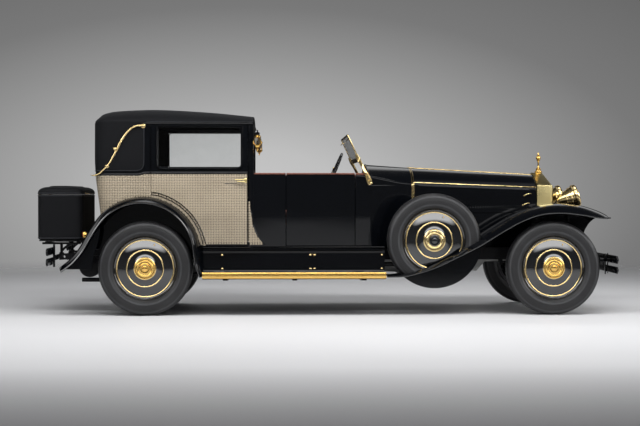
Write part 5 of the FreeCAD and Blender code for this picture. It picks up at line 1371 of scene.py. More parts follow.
# %% Candle lamps and tail lamps
small, small_glass = Piece(), Piece()
for _, sign in SIDES:
    foot = np.array((1.016, sign * 0.7, 1.495))
    base = [(0.0, 0.0), (0.004, 0.001), (0.0065, 0.006), (0.0045, 0.012), (0.007, 0.018), (0.011, 0.022),
        (0.011, 0.026), (0.02, 0.031), (0.029, 0.04), (0.0325, 0.05), (0.0325, 0.058), (0.028, 0.061), (0.0, 0.061)]
    small.tube(turned(base, foot, (0, 0, 1), 32))
    top = [(0.0, 0.124), (0.031, 0.124), (0.0345, 0.127), (0.0345, 0.133), (0.029, 0.137), (0.0235, 0.148),
        (0.02, 0.152), (0.02, 0.16), (0.0225, 0.163), (0.0225, 0.167), (0.013, 0.173), (0.0055, 0.178),
        (0.0055, 0.183), (0.0075, 0.188), (0.0045, 0.193), (0.0, 0.195)]
    small.tube(turned(top[:6] + [(0.0, 0.148)], foot, (0, 0, 1), 32))
    small.tube(turned([(0.0, 0.148)] + top[5:], foot, (0, 0, 1), 32), 1)
    for k in range(6):
        angle = math.pi / 3 * k + 0.3
        spot = foot + (0.0285 * math.cos(angle), 0.0285 * math.sin(angle), 0.06)
        small.rod(spot, spot + (0, 0, 0.065), 0.0022, 8)
    small.rod(foot + (0, 0, 0.062), foot + (0, 0, 0.096), 0.0095, 14, 2)
    small_glass.lathe([(0, 62.5), (25.5, 62.5), (26.5, 85), (25.5, 122.5), (0, 122.5)], foot, (0, 0, 1), 32)
    arm = smooth_line([(0.976, sign * 0.672, 1.572), (0.99, sign * 0.686, 1.56), (1.0, sign * 0.692, 1.548),
        (1.008, sign * 0.697, 1.552)], 14)
    small.wire(arm, 0.007, 10, 0, (0, 1, 0))
    small.lathe([(20, -1), (20, 3), (12, 7)], (0.978, sign * 0.672, 1.573), (1, 0, 0), 20)
    tail = np.array((-0.548, sign * 0.56, 0.73))
    small.lathe([(0, 0), (16, 1), (26, 8), (29.5, 20), (29.5, 36), (26, 40), (0, 40)], tail, (-1, 0, 0), 28)
    small_glass.lathe([(0, 40), (24, 40), (23.5, 43), (14, 47.5), (0, 49)], tail, (-1, 0, 0), 28, 1)
    small.wire(smooth_line([(-0.549, sign * 0.56, 0.73), (-0.5, sign * 0.56, 0.735), (-0.44, sign * 0.56, 0.752),
        (-0.405, sign * 0.56, 0.76)], 14), 0.0085, 10, 1, (0, 1, 0))
small.make("candle_and_tail_lamps", "car_body", ["gold", "moulding", "piping"], "brass", "side_and_tail_lamps", 34)
small_glass.make("small_lamp_glass", "car_body", ["lens", "red_lens"], "glass", crease=40)
print("lamps:", MADE[-4:])

# %% [markdown]
# ## Landau irons
# Each iron is a long S of tapering round bar that runs from a rosette under the roof, past a ball joint,
# to a point behind the rear corner. It once folded a leather head; here it is an ornament.

# %% Landau irons
iron_path = smooth_line([(-0.022, 0.703, 1.7255), (-0.046, 0.703, 1.7275), (-0.071, 0.704, 1.7265),
    (-0.102, 0.705, 1.718), (-0.132, 0.706, 1.702), (-0.181, 0.708, 1.651), (-0.229, 0.711, 1.576),
    (-0.26, 0.713, 1.51), (-0.291, 0.714, 1.453), (-0.321, 0.715, 1.397), (-0.348, 0.715, 1.361),
    (-0.376, 0.713, 1.331), (-0.424, 0.7, 1.289), (-0.473, 0.674, 1.274), (-0.512, 0.65, 1.279)], 120)
run = np.linspace(0, 1, 120)
bulge, point = np.exp(-((run - 0.42) / 0.1) ** 2), np.clip((run - 0.93) / 0.07, 0, 1)
girth = 0.0078 + 0.0024 * bulge + 0.0016 * np.cos(run * math.pi) - 0.0055 * point
irons = Piece()
for _, sign in SIDES:
    section = np.stack([circle(r, 12, 0.85) for r in girth])
    irons.tube(sweep(iron_path * (1, sign, 1), section, (0, 1, 0)))
    for (x, y, z), radius in (((-0.024, 0.7, 1.7255), 0.0155), ((-0.352, 0.706, 1.357), 0.0125)):
        irons.tube(turned([(0.0, 0.016), (radius * 0.5, 0.0155), (radius * 0.8, 0.012), (radius, 0.006),
            (radius, 0.0), (radius * 1.35, -0.003), (radius * 1.35, -0.014)], (x, sign * y, z), (0, sign, 0), 24))
    ball = np.array((-0.2785, 0.715, 1.515))
    turn = np.linspace(-math.pi / 2, math.pi / 2, 15)
    irons.tube(turned(np.stack([0.0185 * np.cos(turn), 0.0185 * np.sin(turn)], -1),
        ball * (1, sign, 1), (0, 1, 0), 28))
    irons.rod(ball * (1, sign, 1), np.array((-0.248, 0.7125, 1.53)) * (1, sign, 1), 0.007, 12)
    knob = np.array((-0.2265, 0.7115, 1.58))
    irons.lathe([(0, -13), (8.5, -12), (13, -5), (13, 5), (8.5, 12), (0, 13)], knob * (1, sign, 1),
        (-0.41, 0, -0.91), 20)
irons.make("landau_iron_pair", "car_body", "brass", "brass", "landau_irons", 40)

# %% [markdown]
# ## Windscreen and driving position
# The raked pane stands in a slim bright frame between two stanchions bolted to the cowl. Behind it are the
# walnut board with its dials, and a thin-rimmed wheel with four spokes.

# %% Windscreen frame and stanchions
SCREEN, SCREEN_OUT = np.array([(2.052, 1.2), (1.842, 1.652)]), np.array((0.907, 0, 0.421))


def on_screen(share, y, off=0.0):
    """A point of the raked screen: share from its foot to its top, moved out of its plane by off."""
    share, y, off = np.broadcast_arrays(np.asarray(share, float), y, off)
    place = SCREEN[0] + (SCREEN[1] - SCREEN[0]) * share[..., None]
    return np.stack([place[..., 0] + SCREEN_OUT[0] * off, y, place[..., 1] + SCREEN_OUT[2] * off], -1)


screen = Piece()
loop = round_corners([(-0.608, 0.52), (0.608, 0.52), (0.608, 0.985), (-0.608, 0.985)], 0.02)
loop[:, 1] = np.clip(loop[:, 1], 0.5, 0.985)
corner_loop = on_screen(loop[:, 1], loop[:, 0])
screen.tube(sweep(corner_loop, rounded(0.02, 0.013, 0.005, 3), SCREEN_OUT, True), ring=True)
screen.wire(on_screen(0.47, np.linspace(-0.606, 0.606, 20)), 0.0085, 10, 0, SCREEN_OUT)
screen.tube(sweep(on_screen(0.496, np.linspace(-0.6, 0.6, 20)), rounded(0.01, 0.018, 0.004, 3), SCREEN_OUT), 1)
for _, sign in SIDES:
    up = np.linspace(0.0, 0.6, 24)
    bar = on_screen(up, sign * (0.6235 - 0.004 * up + 0.0175 * np.clip((0.36 - up) / 0.14, 0, 1)),
        0.004 * np.sin(up * 8))
    wide = 0.0135 + 0.009 * np.exp(-((up - 0.06) / 0.1) ** 2) + 0.0045 * np.exp(-((up - 0.49) / 0.06) ** 2)
    screen.tube(sweep(bar, np.stack([rounded(0.011, 2 * w, 0.004, 3) for w in wide]), SCREEN_OUT))
    for share, radius, length in ((0.055, 0.0095, 0.012), (0.165, 0.0075, 0.011), (0.49, 0.015, 0.014)):
        spot = on_screen(share, sign * (0.622 if share > 0.3 else 0.64))
        screen.tube(turned([(radius, 0), (radius, length * 0.5), (radius * 0.7, length), (0.0, length)],
            spot, (0, sign, 0), 20))
    wing = on_screen(0.49, sign * 0.6345)
    for turn in (0.022, -0.022):
        screen.rod(wing, wing + (0.421 * turn, 0, 0.907 * turn), 0.0042, 8)
    foot = on_screen(0.0, sign * 0.629)
    screen.lathe([(26, -4), (26, 3), (19, 9), (12, 14)], foot + (0, 0, 0.004), (-0.421, sign * 0.25, 0.907), 24)
    stay = smooth_line([on_screen(0.93, sign * 0.596), on_screen(0.9, sign * 0.56, -0.03)], 4)
    screen.wire(stay, 0.004)
screen.make("windscreen_surround", "car_body", ["brass", "board_rubber"], "brass", "windscreen_frame", 32)

# %% Dashboard dials, wheel and column
dials = Piece()
faces = ((0.0, 1.262, 0.05), (0.135, 1.255, 0.036), (-0.135, 1.255, 0.036), (0.25, 1.24, 0.026),
    (-0.25, 1.24, 0.026), (0.0, 1.16, 0.016), (0.07, 1.165, 0.011), (-0.07, 1.165, 0.011))
BOARD = 2.05
for y, z, radius in faces:
    ring = np.array([(1.0, -0.001), (1.0, 0.004), (0.95, 0.008), (0.88, 0.008), (0.84, 0.004), (0.84, 0.002),
        (0.0, 0.002)]) * (radius, 1)
    grid = turned(ring, (BOARD, y, z), (-1, 0, 0), 36)
    rows = np.arange(len(ring) * 36).reshape(-1, 36)
    dials.closed(np.concatenate([grid, np.broadcast_to(grid[:1].mean(1, keepdims=True), grid[:1].shape)]),
        np.concatenate([quads(rows, False, True), quads(np.stack([rows[0] + rows.size, rows[0]]), False, True)]),
        np.concatenate([np.repeat([0, 0, 0, 0, 0, 1], 36), np.zeros(36, int)]))
    if radius > 0.02:
        ticks = 2 * math.pi * np.arange(12) / 12
        for angle in ticks[1:-1] - math.pi / 2:
            inner_end = np.array((BOARD - 0.0028, y + radius * 0.66 * math.cos(angle),
                z + radius * 0.66 * math.sin(angle)))
            outer_end = np.array((BOARD - 0.0028, y + radius * 0.78 * math.cos(angle),
                z + radius * 0.78 * math.sin(angle)))
            dials.rod(inner_end, outer_end, radius * 0.022, 4, 2)
        dials.rod((BOARD - 0.0036, y, z), (BOARD - 0.0036, y - radius * 0.45, z + radius * 0.42),
            radius * 0.026, 4, 2)
dials.make("dashboard_dials", "car_body", ["brass", "dial", "moulding"], "brass", crease=35)

RAKE = math.radians(23)
COLUMN = np.array((math.cos(RAKE), 0.0, -math.sin(RAKE)))
WHEEL_AT = np.array((1.748, 0.33, 1.295))
rim_turn = np.linspace(0, 2 * math.pi, 120, endpoint=False)
rim_girth = 0.0122 + 0.0008 * np.cos(rim_turn * 24)
wheel = Piece()
first, second = np.array((0.0, 1.0, 0.0)), np.cross(COLUMN, (0.0, 1.0, 0.0))
out = np.cos(rim_turn)[:, None] * first + np.sin(rim_turn)[:, None] * second
loop = circle(1.0, 12)
rim_section = out[:, None] * loop[None, :, :1] + COLUMN * loop[None, :, 1:]
rim_grid = (WHEEL_AT + out * 0.22)[:, None] + rim_girth[:, None, None] * rim_section
wheel.tube(rim_grid, ring=True)
for k in range(4):
    angle = math.pi / 4 + math.pi / 2 * k
    reach = math.cos(angle) * first + math.sin(angle) * second
    line = smooth_line([WHEEL_AT + COLUMN * 0.01 + reach * 0.02, WHEEL_AT + COLUMN * 0.006 + reach * 0.1,
        WHEEL_AT + reach * 0.214], 14)
    wheel.tube(sweep(line,
        np.stack([rounded(0.021 - 0.007 * s, 0.0085, 0.003, 3) for s in np.linspace(0, 1, 14)]), COLUMN), 1)
wheel.lathe([(0, -26), (12, -26), (18, -20), (22, -12), (34, -4), (36, 4), (32, 14), (24, 22), (20, 30), (0, 30)],
    WHEEL_AT, COLUMN, 32, 1)
wheel.lathe([(10.5, 26), (10.5, 88)], WHEEL_AT, COLUMN, 16, 1)
for swing, reach in ((0.9, 0.085), (2.2, 0.075)):
    tip = WHEEL_AT - COLUMN * 0.022 + (math.cos(swing) * first + math.sin(swing) * second) * reach
    wheel.rod(WHEEL_AT - COLUMN * 0.02, tip, 0.0034, 8, 1)
    wheel.rod(tip - COLUMN * 0.006, tip + COLUMN * 0.006, 0.0062, 12, 2)
wheel.make("steering_wheel_rim", "hand_wheel", ["moulding", "nickel", "brass"], "steel", "steering_wheel", 40)

# %% Padded rolls along the driver's sides
for side, sign in SIDES:
    for name, body, start, end in (("seat_side_roll", "car_body", 0.986, 1.273),
            ("front_door_roll", f"front_door_{side}_body", 1.281, 1.909),
            ("cowl_post_roll", "car_body", 1.919, 2.04)):
        roll_x = np.linspace(start, end, 40)
        wall_y = driver_half(roll_x)
        line = np.stack([roll_x, sign * (wall_y - 0.02), np.full(40, 1.285)], -1)
        swell = 0.0175 + 0.0007 * np.cos(roll_x * 2 * math.pi / 0.045)
        section = np.stack([circle(r, 14, 0.72) for r in swell])
        Piece().tube(sweep(line, section, (0, 0, 1))).make(f"{name}_{side}", body, "seat_hide",
            "seat_leather", crease=60)
print("driver's place:", MADE[-6:])

# %% [markdown]
# ## Padded seats
# A seat cushion is a crowned form that is full in the middle and pulled in at its seams. A block with soft
# edges is remeshed finely and blown up a little as cloth under pressure; channels are pressed in afterwards.

# %% Cushions by cloth simulation
def swollen(mesh_object, limit):
    """Blows a closed mesh up as cloth for 20 frames, and lets no point move further than the limit."""
    remesh = mesh_object.modifiers.new("remesh", "REMESH")
    remesh.mode, remesh.voxel_size = "VOXEL", 0.013
    bpy.context.view_layer.update()
    depsgraph = bpy.context.evaluated_depsgraph_get()
    mesh = bpy.data.meshes.new_from_object(mesh_object.evaluated_get(depsgraph))
    mesh_object.modifiers.clear()
    mesh_object.data = mesh
    before = places(mesh)
    cloth = mesh_object.modifiers.new("cloth", "CLOTH")
    cloth.settings.use_pressure = True
    cloth.settings.uniform_pressure_force = 4.0
    cloth.settings.effector_weights.gravity = 0.0
    cloth.settings.quality = 4
    cloth.settings.tension_stiffness = cloth.settings.compression_stiffness = 12.0
    cloth.point_cache.frame_start, cloth.point_cache.frame_end = 1, 20
    for moment in range(1, 21):
        bpy.context.scene.frame_set(moment)
    result = bpy.data.meshes.new_from_object(mesh_object.evaluated_get(bpy.context.evaluated_depsgraph_get()))
    mesh_object.modifiers.clear()
    bpy.context.scene.frame_set(1)
    move = places(result) - before
    far = np.linalg.norm(move, axis=1, keepdims=True)
    move *= np.minimum(1, limit / np.maximum(far, 1e-9))
    result.vertices.foreach_set("co", (before + move).ravel())
    mesh_object.data = result
    mesh_object.modifiers.new("finer", "SUBSURF").levels = 1
    return bpy.data.meshes.new_from_object(mesh_object.evaluated_get(bpy.context.evaluated_depsgraph_get()))


FILL, SEAM_DEPTH, SEAM_WIDTH = 0.75, 0.0085, 0.0075


def cushion(name, node, low, high, channels):
    """A padded block: swollen by simulation, then pressed in along sewn channels by a bell."""
    low, high = np.asarray(low, float), np.asarray(high, float)
    block = bpy.data.objects.new("block",
        Piece().tube(soft_box(low + 0.016, high - 0.016, 0.03, 5, 5)).mesh("block"))
    bpy.context.scene.collection.objects.link(block)
    mesh = swollen(block, 0.014)
    points = places(mesh).astype(float) - (AXLE, 0, 0)
    middle, size = (low + high) / 2, high - low
    spread = (points - middle) / (size / 2)
    thin = int(np.argmin(size))
    face = np.clip(np.abs(spread[:, thin]) * 1.6 - 0.6, 0, 1)
    edge = np.maximum(*[np.abs(spread[:, k]) for k in range(3) if k != thin])
    depth = np.zeros(len(points))
    for place in channels:
        depth += np.exp(-((points[:, 1] - place) / SEAM_WIDTH) ** 2)
    depth = np.minimum(depth, 1) * np.clip((0.93 - edge) * 9, 0, 1) * face
    points[:, thin] -= np.sign(spread[:, thin]) * SEAM_DEPTH * depth
    points = np.clip(points, low, high)
    mesh.vertices.foreach_set("co", (points + (AXLE, 0, 0)).astype(np.float32).ravel())
    mesh.materials.clear()
    bpy.data.objects.remove(block)
    done = finish_piece(mesh, name, "car_body", ["seat_hide"], node, 80)
    cord = Piece()
    plane = [k for k in range(3) if k != thin]
    loop = round_corners([(-1, -1), (1, -1), (1, 1), (-1, 1)] * (size[plane] / 2 - 0.006) + middle[plane], 0.04, 9)
    up = np.eye(3)[thin]
    for end in (low[thin] + 0.022, high[thin] - 0.022):
        path = np.insert(loop, thin, end, axis=1)
        cord.wire(path, 0.0042, 8, 0, up, loop=True)
    cord.make(name + "_piping", "car_body", "seat_piping", "seat_leather", crease=60)


FINISHES["seat_piping"] = hide("seat_piping", (0.13, 0.035, 0.018), (0.05, 0.014, 0.008), 0.32, 520.0)
plain = np.linspace(-0.48, 0.48, 9)
cushion("front_seat_cushion", "front_seat", (1.135, -0.57, 0.8003), (1.61, 0.57, 0.95), plain)
cushion("front_seat_back", (), (0.985, -0.59, 0.8003), (1.13, 0.59, 1.3), plain)
cushion("rear_seat_cushion", "rear_seat", (-0.243, -0.56, 0.8603), (0.19, 0.56, 1.01), plain * 0.97)
cushion("rear_seat_back", (), (-0.366, -0.56, 0.8603), (-0.248, 0.56, 1.43), plain * 0.97)
print("seats:", MADE[-8:])

# %% [markdown]
# ## Trunk
# A wooden trunk under black leathercloth: soft corners, a crowned lid, bound edges, two bright catches and
# a handle at the back.

# %% Trunk body and lid
TRUNK_REAR, TRUNK_FRONT, TRUNK_HALF, TRUNK_LOW, LID_LOW, LID_TOP = -1.026, -0.604, 0.47, 0.68, 1.1004, 1.1825
plan = round_corners([(TRUNK_REAR, -TRUNK_HALF), (TRUNK_FRONT, -TRUNK_HALF), (TRUNK_FRONT, TRUNK_HALF),
    (TRUNK_REAR, TRUNK_HALF)], 0.075, 9)
centre = np.array(((TRUNK_REAR + TRUNK_FRONT) / 2, 0.0))


def trunk_rows(table):
    """Closed rows of the trunk's plan: each drawn in by its own share and set at its own height."""
    rows = []
    for inset, z in table:
        reach = plan - centre
        rows.append(np.column_stack([centre + reach * (1 - inset / np.abs(centre - (TRUNK_FRONT, TRUNK_HALF))),
            np.full(len(plan), z)]))
    return np.stack(rows)


trunk = Piece()
outside = [(0.026, TRUNK_LOW), (0.012, TRUNK_LOW + 0.001), (0.003, TRUNK_LOW + 0.008), (0.0, TRUNK_LOW + 0.022)]
outside += [(0.0, z) for z in np.linspace(0.72, 1.08, 12)] + [(0.001, 1.094), (0.003, 1.0988),
    (0.008, 1.0998), (0.012, 1.099)]
inside = [(0.0125, z) for z in np.linspace(1.09, 0.7, 8)] + [(0.03, 0.694)]
trunk.tube(trunk_rows(outside + inside))
for z in (1.088, 0.696):
    trunk.wire(np.column_stack([plan, np.full(len(plan), z)]), 0.0042, 8, 1, loop=True)
for y in (-0.3, 0.3):
    trunk.box((TRUNK_REAR + 0.0005, y - 0.026, 1.03), (TRUNK_REAR + 0.007, y + 0.026, 1.092), 0.003, 2)
grip = smooth_line([(TRUNK_REAR, -0.085, 0.985), (TRUNK_REAR - 0.01, -0.07, 0.975),
    (TRUNK_REAR - 0.012, 0.0, 0.966), (TRUNK_REAR - 0.01, 0.07, 0.975), (TRUNK_REAR, 0.085, 0.985)], 24)
trunk.tube(sweep(grip, rounded(0.02, 0.009, 0.004, 3), (0, 0, 1)), 3)
for y in (-0.08, 0.08):
    trunk.box((TRUNK_REAR - 0.004, y - 0.016, 0.972), (TRUNK_REAR + 0.002, y + 0.016, 1.0), 0.003, 2)
trunk.make("trunk_body", "car_body", ["top_leather", "piping", "brass", "seat_piping"],
    "roof_leather", "trunk_box", 50)

lid = Piece()
dome = np.linspace(0, math.pi / 2, 16)
table = [(0.0125, LID_LOW + 0.002), (0.004, LID_LOW + 0.0004), (0.0, LID_LOW + 0.003), (0.0, 1.118)]
table += [(0.085 * (1 - np.cos(t)), 1.12 + (LID_TOP - 0.012 - 1.12) * np.sin(t)) for t in dome[1:]]
rows = trunk_rows(table)
inner_rows = trunk_rows([(0.11, 1.172), (0.15, 1.1745), (0.19, 1.1765)])
top_height = LID_TOP - 0.0005 - 0.011 * ((inner_rows[..., 0] - centre[0]) / 0.21) ** 2
inner_rows[..., 2] = top_height
lid.tube(np.concatenate([rows, inner_rows]))
rim = np.column_stack([plan, np.full(len(plan), 1.112)])
lid.wire(rim, 0.0045, 8, 1, loop=True)
lid.rod((-0.599, -0.298, 1.107), (-0.599, 0.298, 1.107), 0.0055, 12, 2)
for y in (-0.3, 0.3):
    catch = smooth_line([(TRUNK_REAR - 0.001, y, 1.126), (TRUNK_REAR - 0.003, y, 1.112),
        (TRUNK_REAR - 0.003, y, 1.085), (TRUNK_REAR - 0.002, y, 1.066)], 12)
    lid.tube(sweep(np.clip(catch, (-1.0262, -9, 0), (9, 9, 9)), rounded(0.006, 0.03, 0.0025, 3), (-1, 0, 0)), 2)
lid.make("trunk_top", "luggage_lid", ["top_leather", "piping", "brass"], "roof_leather", "trunk_lid", 50)

# %% Rack
rack = Piece()
for y in np.linspace(-0.4, 0.4, 7):
    rack.box((TRUNK_REAR + 0.012, y - 0.02, 0.666), (TRUNK_FRONT - 0.01, y + 0.02, 0.6795), 0.004)
for x in (TRUNK_REAR + 0.075, TRUNK_FRONT - 0.055):
    rack.rod((x, -0.43, 0.654), (x, 0.43, 0.654), 0.011, 14, 1)
for sign in (1, -1):
    y = sign * 0.35
    rack.rod((TRUNK_REAR + 0.03, y, 0.645), (TRUNK_FRONT - 0.035, y, 0.645), 0.01, 12, 1)
    rack.rod((-0.8175, y, 0.5525), (-0.8175, y, 0.648), 0.013, 14, 1)
    rack.lathe([(24, 0), (24, 5), (16, 11)], (-0.8175, y, 0.5505), (0, 0, 1), 20, 1)
    curve = smooth_line([(-0.8175, y, 0.57), (-0.79, y, 0.6), (-0.745, y, 0.63), (-0.69, y, 0.643)], 18)
    rack.tube(sweep(curve, rounded(0.012, 0.022, 0.004, 3), (0, 0, 1)), 1)
rack.make("luggage_rack", "car_body", ["enamel", "chassis"], "chassis_paint", "trunk_rack", 35)
print("trunk:", MADE[-3:])

# %% [markdown]
# ## Bumpers and running boards
# The bumpers are pairs of black bars with rolled ends. The boards are rubber in fine ribs inside a bright
# edge strip, which shows as a gold line along the sill.

# %% Bumpers
def bar(piece, x, y0, y1, z, tall, bow):
    """A flat bar across the car, bowed forward in the middle, with rounded ends."""
    across = np.linspace(y0, y1, 60)
    half = abs(y1 - y0) / 2
    from_end = 1 - np.abs(across - (y0 + y1) / 2) / half
    scale = np.sqrt(np.clip(1 - (1 - np.clip(from_end / (tall / 2 / half), 0, 1)) ** 2, 0.02, 1))
    place = np.stack([x + bow * (1 - ((across - (y0 + y1) / 2) / half) ** 2), across, np.full(60, z)], -1)
    ring = rounded(0.016, tall, 0.007, 4)
    piece.tube(sweep(place, np.stack([ring * (1, s) for s in scale]), (0, 0, 1)))


bumper = Piece()
for z, tall in ((0.404, 0.066), (0.5, 0.074)):
    bar(bumper, 4.3075, -0.8, 0.8, z, tall, 0.0)
for sign in (1, -1):
    y = sign * 0.35
    bumper.box((4.3165, y - 0.022, 0.356), (4.3195, y + 0.022, 0.546), 0.001)
    bumper.box((4.291, y - 0.015, 0.347), (4.301, y + 0.015, 0.544), 0.004)
    for z in (0.404, 0.5):
        bumper.lathe([(0, 6), (8, 5), (11.5, 1.5), (11.5, -4)], (4.3188, y, z), (1, 0, 0), 6, 1)
    bumper.box((4.241, y - 0.015, 0.443), (4.3005, y + 0.015, 0.499), 0.005)
    # rear pair on its bracket
    low_y, high_y = sorted((sign * 0.332, sign * 0.54))
    bumper.box((-0.855, low_y, 0.4965), (-0.836, high_y, 0.544), 0.005)
    bumper.box((-0.873, sign * 0.505 - 0.015, 0.431), (-0.854, sign * 0.505 + 0.015, 0.645), 0.005)
    for z in (0.484, 0.578):
        low_y, high_y = sorted((sign * 0.43, sign * 0.82))
        bar(bumper, -0.882, low_y, high_y, z, 0.07, -0.002)
        bumper.lathe([(0, 6), (8, 5), (11.5, 1.5), (11.5, -4)], (-0.89, sign * 0.505, z), (-1, 0, 0), 6, 1)
bumper.make("bumper_bars", "car_body", ["enamel", "brass"], "chassis_paint", "bumpers", 35)

# %% Running boards and splash aprons
BOARD_BACK, BOARD_AHEAD = 0.518, 2.184
apron_line = np.linspace(BOARD_BACK, BOARD_AHEAD, 60)
for side, sign in SIDES:
    board = Piece()
    board.tube(soft_box((BOARD_BACK, 0.6205, 0.34), (BOARD_AHEAD, 0.838, 0.39), 0.004) * (1, sign, 1))
    ribs = np.arange(0.64, 0.826, 0.011)
    for y in ribs:
        line = [(BOARD_BACK + 0.012, sign * y, 0.3905), (BOARD_AHEAD - 0.012, sign * y, 0.3905)]
        board.wire(line, 0.0034, 8, 1)
    strip = np.array([(0.8385, 0.3385), (0.845, 0.3385), (0.849, 0.341), (0.85, 0.345), (0.85, 0.386),
        (0.8485, 0.3915), (0.845, 0.3945), (0.83, 0.395), (0.829, 0.3925), (0.8385, 0.39)])
    ends = np.stack([np.column_stack([np.full(len(strip), x), strip * (sign, 1)])
        for x in np.linspace(BOARD_BACK, BOARD_AHEAD, 30)])
    board.tube(ends, 2)
    for x in np.linspace(BOARD_BACK + 0.05, BOARD_AHEAD - 0.05, 20):
        board.lathe([(0, 1.6), (2.8, 1.2), (4.5, -0.4), (4.5, -2)], (x, sign * 0.849, 0.365), (0, sign, 0), 10, 2)
    under = soft_box((BOARD_BACK + 0.002, 0.825, 0.333), (BOARD_AHEAD - 0.002, 0.844, 0.3395), 0.002) * (1, sign, 1)
    board.tube(under)
    for x in (0.725, 1.355, 1.985):
        hanger = smooth_line([(x, sign * 0.384, 0.515), (x, sign * 0.384, 0.4), (x, sign * 0.396, 0.33),
            (x, sign * 0.44, 0.312), (x, sign * 0.64, 0.316), (x, sign * 0.835, 0.328)], 40)
        board.tube(sweep(hanger, rounded(0.044, 0.013, 0.005, 3), (0, 0, 1)), 3)
    board.make(f"running_board_{side}", "car_body", ["moulding", "board_rubber", "gold", "chassis"], "board_rubber",
        "running_boards" if sign > 0 else (), 35)

    apron = Piece()
    up = np.concatenate([np.linspace(0.3955, 0.575, 12),
        0.58 + 0.0195 * np.sin(np.linspace(0.1, 1, 6) * math.pi / 2)])
    out = np.interp(up, [0.3955, 0.41, 0.575, 0.5995], [0.633, 0.629, 0.629, 0.64])
    grid = np.stack(np.broadcast_arrays(apron_line[:, None], sign * out[None, :], up[None, :]), -1)
    apron.sheet(grid, 0.004, (0, sign, 0))
    ledge_y = np.where(apron_line < CABIN_FRONT, 0.668, 0.642)
    ledge = np.stack([apron_line, sign * ledge_y, np.full(60, 0.612)], -1)
    apron.wire(ledge + (0, 0, 0.004), 0.0085, 10, tall=0.8)
    for x in (0.69, 1.5, 1.54, 2.16):
        for z in (0.417, 0.545):
            apron.lathe([(0, 12), (7, 11.2), (11.5, 7.6), (13.5, 2), (13.5, -3)], (x, sign * 0.63, z),
                (0, sign, 0), 24, 1)
    apron.make(f"side_apron_{side}", "car_body", ["enamel", "brass"], "paint", crease=40)
print("boards:", MADE[-4:])

# %% [markdown]
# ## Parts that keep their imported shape
# Castings, springs, pipes and inner walls already have their right shape in the frame. Each is copied, its
# loose triangles are joined and shaded smooth, and it gets a finish that suits it.

# %% Dress the remaining nodes
# finish, slot and nodes
KEPT = (
    ("enamel", "paint", ["cabin_quarter_left", "cabin_quarter_right", "cabin_rear_wall", "division_wall",
        "rear_door_left", "rear_door_right", "front_door_left", "front_door_right", "seat_side_panels",
        "splash_aprons", "body_floor"]),
    ("chassis", "chassis_paint", ["chassis_frame", "leaf_springs", "front_axle", "rear_axle", "steering_column",
        "fuel_tank", "seat_boxes", "exhaust_pipe"]),
    ("cast", "cast", ["engine_and_gearbox"]),
    ("steel", "steel", ["tie_rod", "knuckle_left", "knuckle_right"]),
    ("nickel", "steel", ["levers"]),
    ("walnut", "wood", ["dashboard"]),
    ("glass", "glass", ["fixed_glass", "rear_door_glass_left", "rear_door_glass_right"]))


def cabin_half(x, z):
    """Half width of the outer face at a place, a touch outside it, for the cabin and the driver's sides."""
    return np.where(x < CABIN_FRONT, np.interp(z, LEVELS[:, 0], LEVELS[:, 1]),
        driver_half(x) - tumble_home(z)) + 0.0004


# enamelled walls of which no point may stand proud of the outer face
PRESSED = ("cabin_quarter", "rear_door", "front_door", "seat_side_panels")
for finish, slot, names in KEPT:
    for node in names:
        refined(node, finish, cabin_half if finish == "enamel" and node.startswith(PRESSED) else None)
print("still plain:", [name for name, thing in NODES.items() if not thing.hide_render])

# %% [markdown]
# ## Floor, light and camera
# A wide pale disc is the floor, and the world behind is a soft grey that is lightest at the horizon. Long
# soft lamps overhead and to the side draw the pale lines along the fenders; lamps and world together light
# a surface at about the level its colour is written at.

# %% Floor
floor_finish = Finish("studio_floor", Roughness=0.55)
cloud = floor_finish.noise(0.6, 2)
apart = floor_finish.node("VectorMath", {"operation": "LENGTH"}, floor_finish.place, out=1)
nearby = ((11.5 - apart) * 0.143).clamp()
pale = floor_finish.blend(cloud, (0.6, 0.6, 0.61), (0.64, 0.64, 0.65))
# painted shade: the floor's colour darkens towards the camera side (low Y), standing in for the studio's light
# falling off there, so that the paint has something dark to show
ahead = ((floor_finish.along("Y") + 8.0) * 0.3).clamp()
floor_finish.feed(Base_Color=floor_finish.blend(ahead, (0.1, 0.1, 0.105), pale),
    Alpha=nearby * nearby * (3.0 - nearby * 2.0))
floor_mesh = bpy.data.meshes.new("studio_floor")
turn = np.linspace(0, 2 * math.pi, 96, endpoint=False)
floor_mesh.from_pydata(np.stack([11.5 * np.cos(turn), 11.5 * np.sin(turn), 0 * turn - 0.0005], -1).tolist(),
    [], [list(range(96))])
floor_mesh.materials.append(floor_finish.material)
studio_floor = bpy.data.objects.new("studio_floor", floor_mesh)
bpy.context.scene.collection.objects.link(studio_floor)

# %% World
def sky(measure, stops):
    """A background whose grey follows a measure of the direction."""
    shade, ramp = (tree.nodes.new("ShaderNode" + kind) for kind in ("Background", "ValToRGB"))
    for index, (place, grey) in enumerate(stops):
        stop = ramp.color_ramp.elements[index] if index < 2 else ramp.color_ramp.elements.new(place)
        stop.position, stop.color = place, (grey, grey, grey, 1)
    tree.links.new(measure, ramp.inputs[0])
    tree.links.new(ramp.outputs[0], shade.inputs[0])
    return shade


